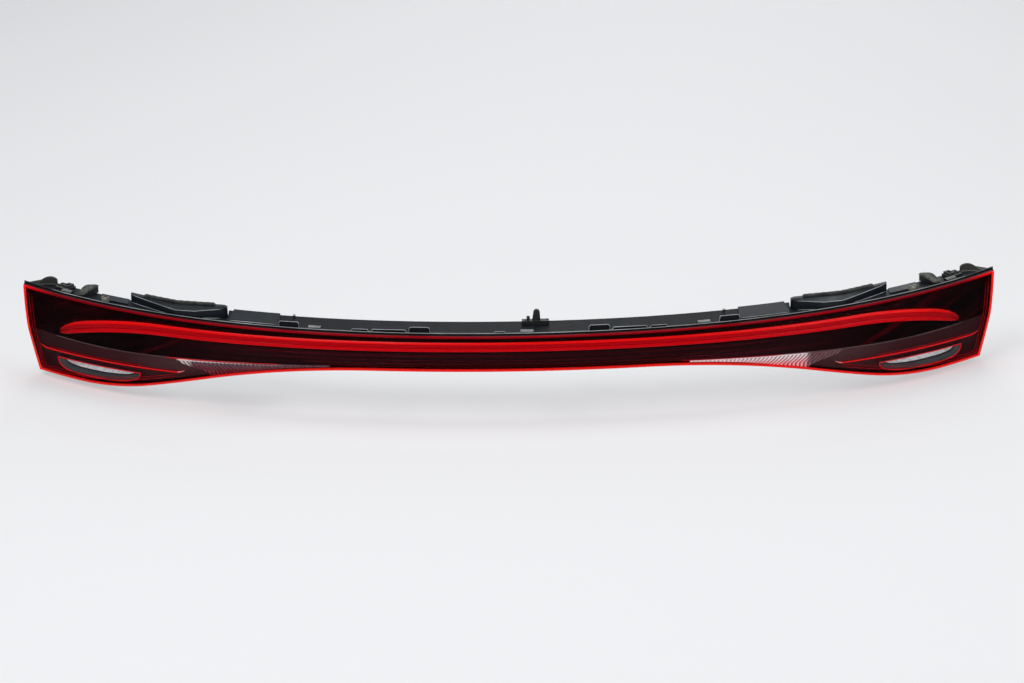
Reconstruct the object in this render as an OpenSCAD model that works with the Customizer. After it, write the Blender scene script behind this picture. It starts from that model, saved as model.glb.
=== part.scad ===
// Full-width rear light bar: a bowed lens with a light band, flared ends with reversing lamps,
// and a moulded housing behind it. The lens faces -Y, the vehicle is towards +Y, and +Z is up.
// The origin is the foot of the centre locating pin on the housing's back.

/* [Lens outline] */
// Half of the width, measured at the upper end corners
half_w = 636; // [600:1:680]
// How far the ends sweep back behind the middle of the lens
plan_bow = 190; // [160:1:215]
// Share of that sweep that gathers towards the ends
plan_gather = 0.3; // [0.1:0.05:0.45]
// Height of the top edge above the origin, in the middle
top_mid = 22; // [20:0.5:26]
// Extra height of the top edge at the ends
top_rise = 9; // [4:0.5:14]
// Depth of the bottom edge below the origin, in the middle
foot_mid = 22; // [20:0.5:26]
// Extra depth of the bottom edge in the flared ends
flare_drop = 61.5; // [56:0.5:68]
// Distance from the end at which the flare begins
flare_begin_in = 465; // [450:1:480]
// Distance from the end at which the flare is at its steepest
flare_steep_in = 238; // [230:1:250]
// Distance from the end at which the flare starts to ease off
flare_ease_in = 166; // [150:1:180]
// Distance from the end at which the flare is complete
flare_done_in = 55; // [45:1:70]
// Inward lean of the end edges, in mm for each mm of height
end_rake = 0.14; // [0.08:0.01:0.2]
// Depth of the crease below the origin, in the middle
crease_mid = 14; // [12:0.5:15]
// Extra depth of the crease at its lowest place
crease_dip = 12; // [8:0.5:15]
// Distance from the end at which the crease is lowest
crease_dip_in = 146; // [130:1:160]
// Rise of the crease from its lowest place to the end
crease_lift = 8; // [4:0.5:12]

/* [Lens section] */
// Wall of the lens
lens_wall = 3; // [2.4:0.1:3.6]
// Set-back of the top edge behind the crease, in the middle
top_set = 9; // [7:0.5:12]
// Extra set-back of the top edge at the ends
top_set_end = 8; // [5:0.5:11]
// Tuck of the bottom edge behind the crease, in the middle
tuck_mid = 3; // [2:0.5:6]
// Extra tuck of the bottom edge at the ends
tuck_end = 15; // [10:0.5:18]
// Radius of the lens's rolled edge
edge_r = 3.5; // [3:0.25:4]
// Depth of the turned-back skirt behind the rolled edge
skirt = 5; // [4:0.5:7]

/* [Housing] */
// Depth from the crease to the housing's back, in the middle
lamp_depth = 54; // [52:0.5:58]
// Wall of the housing
house_wall = 2.5; // [2:0.1:3]
// Gap of the weld seam between the lens and the housing
weld_gap = 0.3; // [0.2:0.05:0.5]
// Thickness of the weld flange
flange_t = 3; // [2.5:0.1:4]
// Height by which the flange stands above the lens
flange_lip = 1.8; // [1.2:0.1:2.6]
// Forward lean of the back wall at its foot
back_lean = 9; // [6:0.5:12]
// Draft of the housing's end walls
end_draft = 22; // [16:0.5:26]
// Height by which the roof climbs to its back edge between the shrouds
roof_rise = 6; // [4:0.5:8]
// Depth of the stiffening ribs on the back
rib_d = 4; // [3:0.5:6]
// Thickness of the stiffening ribs
rib_t = 2; // [1.6:0.1:2.6]

/* [Light band] */
// Height of the band's middle line above the origin
band_z = 9; // [8.5:0.1:9.5]
// Half of the band's height, in the middle of the lamp
band_half = 6.2; // [5.5:0.1:6.6]
// Half of the band's height near its tips
band_half_end = 8; // [7:0.1:8.5]
// Distance from the lamp's end to the band's tip
band_tip_in = 53; // [48:1:60]
// Length of the rounded nose at the tip
band_nose = 38; // [32:1:44]
// Distance from the end at which the band starts to droop
droop_in = 196; // [185:1:210]
// Drop of the band's middle line at the tip
band_droop = 20; // [16:0.5:22]
// Gap between the lens and what lies behind it
optic_gap = 1.2; // [0.8:0.1:1.6]
// Depth of the band light guide
guide_d = 8; // [7:0.5:9]

/* [Bezel] */
// Distance from the lens's outer face to the bezel
bezel_in = 8; // [7.5:0.1:9]
// Thickness of the bezel
bezel_t = 2; // [1.6:0.1:2.4]
// Clearance round pieces that sit in an opening
fit_gap = 0.5; // [0.4:0.05:0.7]

/* [Reversing lamp] */
// Distance from the lamp's end to the window's outer end
window_in = 48; // [46:1:54]
// Length of the window
window_len = 118; // [108:1:122]
// Depth of the window's top edge below the origin
window_top = 54.5; // [54:0.5:57]
// Height of the window at its deepest
window_h = 19.5; // [17:0.5:20]

/* [Accent light] */
// Distance from the lamp's end to the accent guide's outer end
accent_in = 22; // [20:1:28]
// Length of the accent guide
accent_len = 194; // [180:1:205]
// Depth of the accent guide below the origin
accent_z = 46; // [44:0.5:47]
// Radius of the accent guide
accent_r = 1.5; // [1.2:0.1:1.8]

/* [Top details] */
// Height of the water wall at the outer tip of each shroud
shroud_h = 10; // [8:0.5:12]
// Height of each shroud at its inner, rounded end
lobe_h = 12; // [10:0.5:13]
// Distance from the lamp's end to the shroud's outer tip
shroud_in = 149; // [143:1:155]
// Length of the shroud
shroud_len = 129; // [120:1:135]
// Thickness of the foam strips and covers
foam_t = 2.5; // [1.5:0.1:3.5]
// Distance from the lamp's end to the side bracket
bracket_in = 90; // [86:1:94]
// Height of the side bracket at the back
bracket_h = 11; // [8:0.5:13]
// Height of the end hood above the roof at its peak
hood_h = 10; // [7:0.5:12]
// Width of a spring clip
clip_w = 16; // [12:0.5:18]
// Distance of each inner spring clip from the roof tab outside it
clip_in = 32; // [26:1:44]
// Place of the centre locator along the lamp
locator_x = 33; // [26:1:60]
// Height of the centre locator's fin above the roof's back edge
locator_h = 17; // [14:0.5:20]

/* [Electrics] */
// Spacing of the light-emitting diodes along the band
led_pitch = 18; // [15:1:24]
// Depth of the band's reflector troughs
trough_d = 14; // [13:0.5:15]
// Width of the control module
module_w = 92; // [84:1:100]
// Height of the control module
module_h = 42; // [38:1:44]
// Depth of the control module
module_d = 15; // [13:0.5:18]
// Distance from the lamp's left end to the middle of the control module
module_in = 291; // [276:1:301]
// Distance of the connector socket from the middle
socket_x = 75; // [65:1:90]
// Inner width of the connector socket
socket_w = 22; // [20:0.5:26]
// Inner height of the connector socket
socket_h = 11; // [10:0.5:13]
// Depth of the connector socket
socket_d = 15; // [13:0.5:18]

/* [Mounting] */
// Radius of the centre locating pin
pin_r = 4; // [3:0.25:5]
// Length of the centre locating pin
pin_len = 14; // [10:0.5:18]
// Radius of the mounting studs
stud_r = 3; // [2.5:0.5:4]
// Length of each stud beyond its boss
stud_len = 22; // [16:1:28]
// Distance between the inner pair of studs
stud_inner = 300; // [280:1:320]
// Distance from the lamp's end to each outer stud
stud_end_in = 111; // [96:1:126]
// Radius of the bosses that carry the studs
boss_r = 9; // [8:0.5:10]

/* [Hidden] */

// Housing details
roof_in = 1;
foot_up = 3;
back_flat = 8;
foot_round = 6;
inner_r = 0.8;
inner_boss = 3;
outer_boss = 9;
boss_root = 12;
pin_boss_r = 11;
pin_tip = 1.5;
pin_root = 8;
pin_root_r = 5.5;
pin_clear_r = 16;
stud_root = 7;
stud_inner_z = 0;
stud_outer_z = -30;
seal_t = 3;
press_gap = 0.1;
seat_gap = 0.3;
bend_gap = 0.6;
bowl_gap = 0.9;
roof_gap = 0.45;
joint_gap = 0.6;

// Ribs on the back, from the middle and from the end
middle_ribs = [30, 112, 186];
end_ribs = [406, 366, 226, 146, 66, 34];

// Roof details: each tab is its share of the way to the inner plate, its width and its height
roof_tabs = [[0.388, 26, 9.5], [0.521, 44, 5.5], [0.646, 22, 5], [0.955, 26, 10]];
lone_tab = [-12, 15, 4];
tab_t = 1.4;
tab_bevel = 2.5;
rise_front = 30;
rise_gap = 1;
clip_room = 1.4;
tab_depth = 23;
plate_len = 65;
plate_slant = 5;
plate_front = 27;
plate_h = 2.2;
plate_gap = 3;
outer_plate_h = 1.6;
outer_plate_in = 11;
outer_plate_d = 18.5;
outer_plate_back = 2;
foot_out = 29;
tip_out = 7;
lobe_out = 15;
shroud_lip = 8;
strip_in = 16;
strip_out = 18;
shroud_crown = 1.2;
arm_front = 31;
hood_in = 17;
hood_len = 27;
hood_peak = 0.35;
hood_front = 34;
hood_t = 2.4;
plug_from_bracket = 24;
plug_depth = 28.5;
plug_w = 8;
plug_h = 7;
block_in = 52;
block_depth = 36;
block_w = 22;
end_clip_in = 60;
locator_w = 34;
locator_d = 9;
locator_foot = 3;
fin_w = 11;
fin_r = 4;
edge_pin_in = 18;
edge_pin_r = 1.8;
edge_pin_h = 3.5;

// Optics and electrics
trough_lip = 2.3;
mouth_gap = 1;
trough_t = 1.2;
board_t = 1;
led_s = 3;
led_d = 1;
led_gap = 0.1;
accent_hook = 12;
accent_hook_h = 4;
optic_in = 211;
optic_len = 199;
optic_tail = 62;
optic_tip = 2.5;
optic_pitch = 6;
optic_rib = 0.9;
optic_edge = 0.8;
window_belly = 37;
window_t = 2.6;
bowl_in = 12;
bowl_out = 9;
bowl_h = 8.5;
bowl_rim = 1.5;
bowl_t = 1.2;
reverse_board_w = 60;
reverse_board_h = 12;
reverse_board_t = 1.6;
sink_base = 2;
sink_fins = 8;
sink_fin_t = 1.2;
sink_fin_d = 6;
sink_room = 2.6;
case_fin_d = 6;
screw_r = 1.5;
screw_head_r = 2.8;
screw_head_h = 2;
screw_edge = 3.6;
module_z = -5;
module_gap = 4;
post_r = 5;
post_edge = 6;
post_bore = 7;
module_posts = [-module_w / 2 + post_edge, module_w / 2 - post_edge];
lid_t = 2;
case_margin = 4;
case_fins = 9;
socket_z = 2;
socket_wall = 1.6;
socket_flange = 0.3;
socket_sink = 8;
socket_key = 6;
pad_edge = 6;
pad_out = 9;
pin_count = 6;
pin_pitch = 3.2;
pin_s = 0.8;
vent_in = 186;
vent_z = -30;
vent_r = 7;
vent_bore_r = 4;
vent_len = 7;

stations = 40;

function sq(v) = v * v;
function mix(a, b, t) = a + (b - a) * t;
function clamp01(v) = min(1, max(0, v));
function spread(a, b, n) = [for (i = [0:n]) mix(a, b, i / n)];
function reach(x) = abs(x) / half_w;

// Share of a slope already climbed at x: it bends in from a to b, runs straight to c and eases off until d
function ramp(x, a, b, c, d) =
    let (m = 2 / (c + d - a - b))
    x <= a ? 0 :
    x <= b ? m * sq(x - a) / (2 * (b - a)) :
    x <= c ? m * ((b - a) / 2 + x - b) :
    x <= d ? m * ((b - a) / 2 + x - b - sq(x - c) / (2 * (d - c))) : 1;

// Plan view: the line of the crease, its slope, and how much a depth stretches along Y on that slope
function bow(x) = plan_bow * ((1 - plan_gather) * pow(reach(x), 2) + plan_gather * pow(reach(x), 4));
function slope(x) = bow(x + 0.5) - bow(x - 0.5);
function y_at(x, depth) = bow(x) - lamp_depth + depth * sqrt(1 + sq(slope(x)));
function turn(x) = atan(slope(x));

// Front view: the top edge, the bottom edge, the crease and the raked ends
function top_z(x) = top_mid + top_rise * sq(reach(x));
function foot_z(x) =
    -foot_mid - flare_drop * ramp(abs(x), half_w - flare_begin_in, half_w - flare_steep_in,
                                  half_w - flare_ease_in, half_w - flare_done_in);
crease_dip_x = half_w - crease_dip_in;
function crease_z(x) =
    abs(x) < crease_dip_x
    ? -crease_mid - crease_dip * (1 - pow(1 - sq(x / crease_dip_x), 1.5))
    : -crease_mid - crease_dip + crease_lift * sq((abs(x) - crease_dip_x) / crease_dip_in);
function end_x(z) = half_w - end_rake * (top_mid + top_rise - z);

// Set-back of the lens's face behind the crease line
function top_back(x) = top_set + top_set_end * sq(reach(x));
function foot_back(x) = tuck_mid + tuck_end * sq(reach(x));
function face(x, z) =
    let (c = crease_z(x))
    z > c
    ? top_back(x) * pow(clamp01((z - c) / (top_z(x) - c)), 1.6)
    : foot_back(x) * pow(clamp01((c - z) / (c - foot_z(x))), 1.2);
function weld(x, z) =
    let (h = clamp01((top_z(x) - z) / (top_z(x) - foot_z(x))))
    mix(top_back(x), foot_back(x), h) + edge_r + skirt;

function place(s, oz, inset = 0) =
    let (x = s * (end_x(oz[1]) - inset))
    [x, y_at(x, oz[0]), oz[1]];

// Section of the lens at x, top to bottom: rolled edge, upper face, crease, lower face, rolled edge
upper_rows = 4;
lower_rows = 3;
function lens_section(x, inset, r) =
    let (
        zt = top_z(x) - inset,
        zb = foot_z(x) + inset,
        zc = crease_z(x),
        k = 1 - sqrt(0.5),
        ot = face(x, zt - r) + inset,
        ob = face(x, zb + r) + inset
    )
    concat(
        [[ot + r, zt], [ot + k * r, zt - k * r]],
        [for (i = [0:upper_rows - 1])
            let (z = mix(zt - r, zc, i / upper_rows)) [face(x, z) + inset, z]],
        [for (i = [0:lower_rows])
            let (z = mix(zc, zb + r, i / lower_rows)) [face(x, z) + inset, z]],
        [[ob + k * r, zb + k * r], [ob + r, zb]]
    );

// Faces of a grid of points, split the other way in its second half, its border as one loop,
// and the band of faces between two loops
function grid_faces(rows, cols, first) = [
    for (i = [0:rows - 2], j = [0:cols - 2], k = [0:1])
        let (a = first + i * cols + j, c = a + cols)
        2 * i < rows - 1
        ? (k == 0 ? [a, c, c + 1] : [a, c + 1, a + 1])
        : (k == 0 ? [a, c, a + 1] : [a + 1, c, c + 1])
];
function border(rows, cols) = concat(
    [for (j = [0:cols - 2]) [0, j]],
    [for (i = [0:rows - 2]) [i, cols - 1]],
    [for (j = [cols - 1:-1:1]) [rows - 1, j]],
    [for (i = [rows - 1:-1:1]) [i, 0]]
);
function strip(a, b) = [
    for (i = [0:len(a) - 1], k = [0:1])
        let (n = (i + 1) % len(a))
        k == 0 ? [a[i], a[n], b[n]] : [a[i], b[n], b[i]]
];
function flip(faces) = [for (f = faces) [f[2], f[1], f[0]]];

// Closed solid from an outer grid of points, loops round its border and an inner grid.
// The rows run along +X and the columns from top to bottom; back is true where the outer grid faces +Y.
module skin(outer, loops, inner, back = false) {
    rows = len(outer);
    cols = len(outer[0]);
    edge = border(rows, cols);
    n = len(edge);
    size = rows * cols;
    start = [for (e = edge) e[0] * cols + e[1]];
    finish = [for (e = start) e + size];
    rings = concat(
        [start],
        [for (k = [0:1:len(loops) - 1]) [for (i = [0:n - 1]) 2 * size + k * n + i]],
        [finish]
    );
    faces = concat(
        grid_faces(rows, cols, 0),
        flip(grid_faces(rows, cols, size)),
        [for (k = [0:len(rings) - 2]) each strip(rings[k], rings[k + 1])]
    );
    polyhedron(
        points = concat([for (r = outer) each r], [for (r = inner) each r], [for (l = loops) each l]),
        faces = back ? flip(faces) : faces
    );
}

module outer_lens() {
    outer = [for (s = spread(-1, 1, stations)) [for (oz = lens_section(s * half_w, 0, edge_r)) place(s, oz)]];
    inner = [for (s = spread(-1, 1, stations))
        [for (oz = lens_section(s * half_w, lens_wall, inner_r)) place(s, oz, lens_wall)]];
    edge = border(len(outer), len(outer[0]));
    function to_weld(p) = [p[0], y_at(p[0], weld(p[0], p[2])), p[2]];
    color([0.6, 0.02, 0.03])
    skin(outer, [
        [for (e = edge) to_weld(outer[e[0]][e[1]])],
        [for (e = edge) to_weld(inner[e[0]][e[1]])]
    ], inner);
}

// Section of the housing's back at x, top to bottom
function back_section(x, inset) =
    let (
        zt = top_z(x) - roof_in - inset,
        zb = foot_z(x) + foot_up + inset,
        d = lamp_depth - inset,
        zr = mix(zt, zb, 0.5),
        dr = d - back_lean / 3,
        crest = inset > 0 ? 0 : rib_d
    )
    [[d, zt], [d, zt - back_flat], [dr, zr + rib_t], [dr + crest, zr + rib_t / 2], [dr + crest, zr - rib_t / 2],
     [dr, zr - rib_t], [d - back_lean, zb + back_flat], [d - back_lean - foot_round, zb]];

// Loop round the housing's mouth: grow lifts the top edge, inset draws it in,
// behind moves it back from the weld
function mouth(rows, cols, grow, inset, behind) = [
    for (e = border(rows, cols))
        let (
            s = 2 * e[0] / (rows - 1) - 1,
            h = e[1] / (cols - 1),
            xs = s * half_w,
            z = mix(top_z(xs) - inset + (e[1] == 0 ? grow : 0), foot_z(xs) + inset, h),
            x = s * (end_x(z) - inset)
        )
        [x, y_at(x, weld(x, z) + behind), z]
];

module housing_shell() {
    outer = [for (s = spread(-1, 1, stations))
        [for (oz = back_section(s * (half_w - end_draft), 0)) place(s, oz, end_draft)]];
    inner = [for (s = spread(-1, 1, stations))
        [for (oz = back_section(s * (half_w - end_draft), house_wall)) place(s, oz, end_draft + house_wall)]];
    rows = len(outer);
    cols = len(outer[0]);
    skin(outer, [
        mouth(rows, cols, 0, roof_in, weld_gap + flange_t),
        mouth(rows, cols, flange_lip, 0, weld_gap + flange_t),
        mouth(rows, cols, flange_lip, 0, weld_gap),
        mouth(rows, cols, 0, lens_wall, weld_gap)
    ], inner, back = true);
}

// Frames of reference: on the roof, and on the back wall
module on_roof(x, depth)
    translate([x, y_at(x, depth), top_z(x) - roof_in])
    rotate([0, -atan(2 * top_rise * x / sq(half_w)), turn(x)])
    children();
module on_back(x, z)
    translate([x, y_at(x, lamp_depth), z])
    rotate([0, 0, turn(x)])
    children();
// A cylinder along +Y that starts at y = from and ends at y = to
module along_y(r, from, to)
    translate([0, from, 0])
    rotate([-90, 0, 0])
    cylinder(r = r, h = to - from);
module both_sides() {
    children();
    mirror([1, 0, 0]) children();
}

// Mounting: each stud's place along the lamp, its height and how far its boss stands out
function boss_y(p) = y_at(p[0], lamp_depth) + p[2];
stud_places = [[stud_inner / 2, stud_inner_z, inner_boss], [half_w - stud_end_in, stud_outer_z, outer_boss]];

module rear_housing() {
    color([0.12, 0.13, 0.15])
    difference() {
        union() {
            housing_shell();
            both_sides() for (p = stud_places)
                translate([p[0], 0, p[1]])
                along_y(boss_r, y_at(p[0], lamp_depth) - boss_root, boss_y(p));
            along_y(pin_boss_r, -boss_root, 0);
            for (x = module_posts, z = [-1, 1])
                on_back(module_in - half_w, module_z)
                translate([x, 0, z * (module_h / 2 - post_edge)])
                along_y(post_r, -boss_root, module_gap);
            both_sides() on_back(half_w - vent_in, vent_z) along_y(vent_r, -boss_root, vent_len);
            for (side = [-1, 1], x = concat(middle_ribs, [for (e = end_ribs) half_w - e])) back_rib(side * x);
            for (side = [-1, 1], tab = roof_tabs)
                on_roof(side * tab[0] * plate_from, tab_depth) roof_tab(tab[1], tab[2]);
            on_roof(lone_tab[0], tab_depth) roof_tab(lone_tab[1], lone_tab[2]);
            roof_back();
            on_back(socket_x, socket_z)
                translate([-socket_w / 2 - pad_edge, -boss_root, -socket_h / 2 - pad_edge])
                cube([socket_w + 2 * pad_edge, boss_root + pad_out, socket_h + 2 * pad_edge]);
        }
        for (x = module_posts, z = [-1, 1])
            on_back(module_in - half_w, module_z)
            translate([x, 0, z * (module_h / 2 - post_edge)])
            along_y(screw_r + press_gap, module_gap - post_bore, module_gap + 1);
        both_sides() for (p = stud_places)
            translate([p[0], 0, p[1]])
            along_y(stud_r + press_gap, boss_y(p) - stud_root, boss_y(p) + 1);
        both_sides() on_back(half_w - vent_in, vent_z) along_y(vent_bore_r, -boss_root - 1, vent_len + 1);
        on_back(socket_x, socket_z)
            translate([-socket_w / 2 - socket_wall - fit_gap, -boss_root, -socket_h / 2 - socket_wall - fit_gap])
            cube([socket_w + 2 * (socket_wall + fit_gap), boss_root + pad_out + 1,
                  socket_h + 2 * (socket_wall + fit_gap)]);
        along_y(pin_clear_r, 0, 2 * rib_d);
        along_y(pin_root_r + press_gap, -pin_root, 1);
    }
}

// Upright rib on the back wall, cut to the wall's own profile
module back_rib(x) {
    wall = [for (oz = back_section(x, house_wall)) [oz[0] - lamp_depth, oz[1]]];
    crest = [for (oz = wall) [oz[0] + house_wall + rib_d, oz[1] + (oz[1] > crease_z(x) ? -1 : 1)]];
    on_back(x, 0)
    translate([rib_t / 2, 0, 0])
    rotate([90, 0, -90])
    linear_extrude(rib_t)
    mirror([1, 0, 0])
    polygon(concat([for (w = wall) [w[0], w[1]]], [for (i = [len(crest) - 1:-1:0]) crest[i]]));
}

// Upright tab behind the weld flange, with bevelled corners
module roof_tab(w, h)
    rotate([90, 0, 0])
    linear_extrude(tab_t)
    polygon([[-w / 2, -house_wall / 2], [w / 2, -house_wall / 2], [w / 2, h - tab_bevel],
             [w / 2 - tab_bevel * 0.6, h], [-w / 2 + tab_bevel * 0.6, h], [-w / 2, h - tab_bevel]]);

// The roof climbs towards its back edge between the shrouds
rise_back = lamp_depth - rise_gap / 2;
rise_angle = atan(roof_rise / (rise_back - rise_front));
function rise_at(x, depth) =
    abs(x) > rise_to ? 0 : roof_rise * clamp01((depth - rise_front) / (rise_back - rise_front));
module roof_back()
    loft([for (x = spread(-rise_to, rise_to, 24))
        let (z = top_z(x) - roof_in)
        [for (oz = [[rise_front, z - 0.02], [rise_front, z - house_wall / 2], [rise_back, z - house_wall / 2],
                    [rise_back, z + roof_rise]]) at(x, oz)]
    ]);
module on_rise(x, depth)
    on_roof(x, depth)
    translate([0, 0, rise_at(x, depth)])
    rotate([rise_angle, 0, 0])
    children();

// Outline of the light band: half of its height and its middle line at x
band_tip = half_w - band_tip_in;
band_taper = band_tip - band_nose;
function band_h(x) =
    abs(x) < band_taper
    ? mix(band_half, band_half_end, sq(x / band_taper))
    : band_half_end * sqrt(max(0, 1 - sq((abs(x) - band_taper) / band_nose)));
function band_mid(x) = band_z - band_droop * sq(max(0, abs(x) - half_w + droop_in) / (droop_in - band_tip_in));
nose_xs = [for (a = [15, 32, 50, 68, 84]) band_taper + band_nose * sin(a)];
band_xs = concat(
    [for (i = [len(nose_xs) - 1:-1:0]) -nose_xs[i]],
    spread(-band_taper, band_taper, 26),
    nose_xs
);
function band_outline(grow) = concat(
    [for (x = band_xs) [x, band_mid(x) + band_h(x) + grow]],
    [[band_tip + grow, band_mid(band_tip)]],
    [for (i = [len(band_xs) - 1:-1:0]) let (x = band_xs[i]) [x, band_mid(x) - band_h(x) - grow]],
    [[-band_tip - grow, band_mid(band_tip)]]
);

// Outline of a reversing-lamp shape: a straight top and a belly that is deepest towards the outer end
function window_outline(from, length, top, h, belly_in) =
    let (n = 14, to = from + length, deep = to - belly_in)
    concat(
        [[from, top]],
        [[to, top]],
        [for (i = [1:n])
            let (
                x = to - length * (1 - cos(90 * i / n)) * (i < n ? 1 : 0.995),
                q = x > deep ? (x - deep) / belly_in : (deep - x) / (deep - from),
                d = x > deep ? pow(1 - pow(q, 3), 1 / 3) : sqrt(1 - sq(q))
            )
            [x, top - h * max(0.1, d)]]
    );
window_to = half_w - window_in;
window_from = window_to - window_len;
bowl_shape = window_outline(window_from + bowl_in, window_len - bowl_in - bowl_out, -window_top - bowl_in / 6,
                            bowl_h, window_belly);

// A prism along Y with an outline in X and Z
module prism(outline, from, to)
    translate([0, to, 0])
    rotate([90, 0, 0])
    linear_extrude(to - from)
    polygon(outline);

// Sheet that follows the lens's face at a depth behind it, between two heights
function sheet_row(x, depth, zt, zb, n) =
    [for (i = [0:n]) let (z = mix(zt, zb, i / n)) [face(x, z) + depth, z]];
bezel_edge = lens_wall + fit_gap;
function bezel_section(x, depth) = concat(
    sheet_row(x, depth, top_z(x) - bezel_edge, crease_z(x), 3),
    [for (i = [1:2])
        let (z = mix(crease_z(x), foot_z(x) + bezel_edge + 3 * fit_gap, i / 2))
        [face(x, z) + depth, z]]
);
module inner_bezel() {
    front = [for (s = spread(-1, 1, stations))
        [for (oz = bezel_section(s * half_w, bezel_in)) place(s, oz, bezel_edge)]];
    back = [for (s = spread(-1, 1, stations))
        [for (oz = bezel_section(s * half_w, bezel_in + bezel_t)) place(s, oz, bezel_edge)]];
    color([0.03, 0.03, 0.035])
    difference() {
        skin(front, [], back);
        prism(band_outline(fit_gap), -2 * lamp_depth, 2 * plan_bow);
        both_sides() prism(bowl_shape, -2 * lamp_depth, 2 * plan_bow);
    }
}

// Closed solid through sections along +X; each section runs clockwise as seen from its -X side
module loft(sections) {
    n = len(sections);
    m = len(sections[0]);
    polyhedron(
        points = [for (s = sections) each s],
        faces = concat(
            [for (j = [1:m - 2]) [0, j, j + 1]],
            [for (j = [1:m - 2]) let (a = (n - 1) * m) [a, a + j + 1, a + j]],
            [for (i = [0:n - 2], j = [0:m - 1], k = [0:1])
                let (a = i * m + j, b = i * m + (j + 1) % m)
                k == 0 ? [a, a + m, b + m] : [a, b + m, b]]
        )
    );
}
// Point of a lofted section at x from its depth and height
function at(x, oz) = [x, y_at(x, oz[0]), oz[1]];

module band_light_guide() {
    color([0.85, 0.05, 0.05])
    loft([for (x = band_xs)
        let (
            h = band_h(x),
            zc = band_mid(x),
            c = min(1.5, h * 0.4),
            front = lens_wall + optic_gap,
            back = front + guide_d,
            zt = zc + h,
            zb = zc - h
        )
        [for (oz = [
            [face(x, zt) + front + c, zt], [face(x, zt) + front, zt - c], [face(x, zb) + front, zb + c],
            [face(x, zb) + front + c, zb], [face(x, zb) + back, zb], [face(x, zt) + back, zt]
        ]) at(x, oz)]
    ]);
}

// White trough behind the band, between two places along the lamp
trough_front = bezel_in + bezel_t + bend_gap;
function trough_section(x, out) =
    let (
        h = band_h(x), zc = band_mid(x), f = face(x, zc) + trough_front,
        lip = trough_lip, floor_h = h * 0.8
    )
    [
        [face(x, zc + h + lip) + trough_front + out, zc + h + lip],
        [face(x, zc + h + mouth_gap) + trough_front + out, zc + h + mouth_gap + out],
        [f + trough_d + out, zc + floor_h + out],
        [f + trough_d + out, zc - floor_h - out],
        [face(x, zc - h - mouth_gap) + trough_front + out, zc - h - mouth_gap - out],
        [face(x, zc - h - lip) + trough_front + out, zc - h - lip]
    ];
module band_trough(from, to, n) {
    color([0.93, 0.93, 0.9])
    skin(
        [for (x = spread(from, to, n)) [for (oz = trough_section(x, 0)) at(x, oz)]],
        [],
        [for (x = spread(from, to, n)) [for (oz = trough_section(x, trough_t)) at(x, oz)]]
    );
}
trough_split = 205;
trough_end = band_taper + band_nose / 2;
module band_reflector_centre() band_trough(-trough_split, trough_split, 10);
module band_reflector_right() band_trough(trough_split + joint_gap, trough_end, 14);
module band_reflector_left() mirror([1, 0, 0]) band_reflector_right();

// Flexible boards on the trough floors, and their diodes
board_half = 4;
function floor_depth(x) = face(x, band_mid(x)) + trough_front + trough_d;
module flex_board(from, to, n) {
    color([0.85, 0.86, 0.84])
    loft([for (x = spread(from, to, n))
        let (zc = band_mid(x), back = floor_depth(x) - seat_gap, front = back - board_t)
        [for (oz = [[front, zc + board_half], [front, zc - board_half],
                    [back, zc - board_half], [back, zc + board_half]]) at(x, oz)]
    ]);
}
board_end = 3;
module led_board_centre() flex_board(-trough_split + board_end, trough_split - board_end, 10);
module led_board_right() flex_board(trough_split + joint_gap + board_end, trough_end - board_end, 14);
module led_board_left() mirror([1, 0, 0]) led_board_right();
led_count = floor((trough_end - led_pitch) / led_pitch);
module band_leds() {
    color([0.95, 0.85, 0.3])
    for (i = [-led_count:led_count])
        let (x = i * led_pitch)
        if (abs(abs(x) - trough_split) > led_s + board_end + joint_gap)
            translate([x, y_at(x, floor_depth(x) - seat_gap - board_t), band_mid(x)])
            rotate([0, 0, turn(x)])
            translate([-led_s / 2, -led_d - led_gap, -led_s / 2])
            cube([led_s, led_d, led_s]);
}

// Accent light guide: a rod with a small hook at each end, lying on the bezel
accent_to = half_w - accent_in;
accent_from = accent_to - accent_len;
function accent_height(x) =
    let (from_end = min(accent_to - x, x - accent_from))
    -accent_z + (from_end < accent_hook ? accent_hook_h * sq(1 - from_end / accent_hook) : 0);
accent_xs = concat(
    [for (i = [0:3]) accent_from + accent_hook * i / 4],
    spread(accent_from + accent_hook, accent_to - accent_hook, 9),
    [for (i = [1:4]) accent_to - accent_hook * (1 - i / 4)]
);
module accent_guide_right() {
    color([0.9, 0.08, 0.08])
    loft([for (x = accent_xs)
        let (z = accent_height(x), d = face(x, z) + bezel_in - accent_r - seat_gap)
        [for (a = [0:45:315]) at(x, [d - accent_r * cos(a), z - accent_r * sin(a)])]
    ]);
}
module accent_guide_left() mirror([1, 0, 0]) accent_guide_right();

// Ribbed optic in the wedge between the crease and the bottom edge
module ribbed_optic_right() {
    ribs = round(optic_len / optic_pitch);
    to = half_w - optic_in;
    from = to - optic_len;
    function foot(x) = mix(foot_z(x) + edge_r + optic_edge, crease_z(x) - optic_edge - optic_tip,
                           pow(clamp01((x - to + optic_tail) / optic_tail), 0.6));
    function zs(x) = [
        crease_z(x) - optic_edge,
        mix(crease_z(x) - optic_edge, foot(x), 0.5),
        foot(x)
    ];
    front = lens_wall + seat_gap;
    xs = spread(from, to, 2 * ribs);
    color([0.9, 0.88, 0.88])
    skin(
        [for (i = [0:len(xs) - 1]) let (x = xs[i], d = i % 2 == 0 ? optic_rib : 0)
            [for (z = zs(x)) at(x, [face(x, z) + front + d, z])]],
        [],
        [for (x = xs) [for (z = zs(x)) at(x, [face(x, z) + bezel_in - bend_gap, z])]]
    );
}
module ribbed_optic_left() mirror([1, 0, 0]) ribbed_optic_right();

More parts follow.
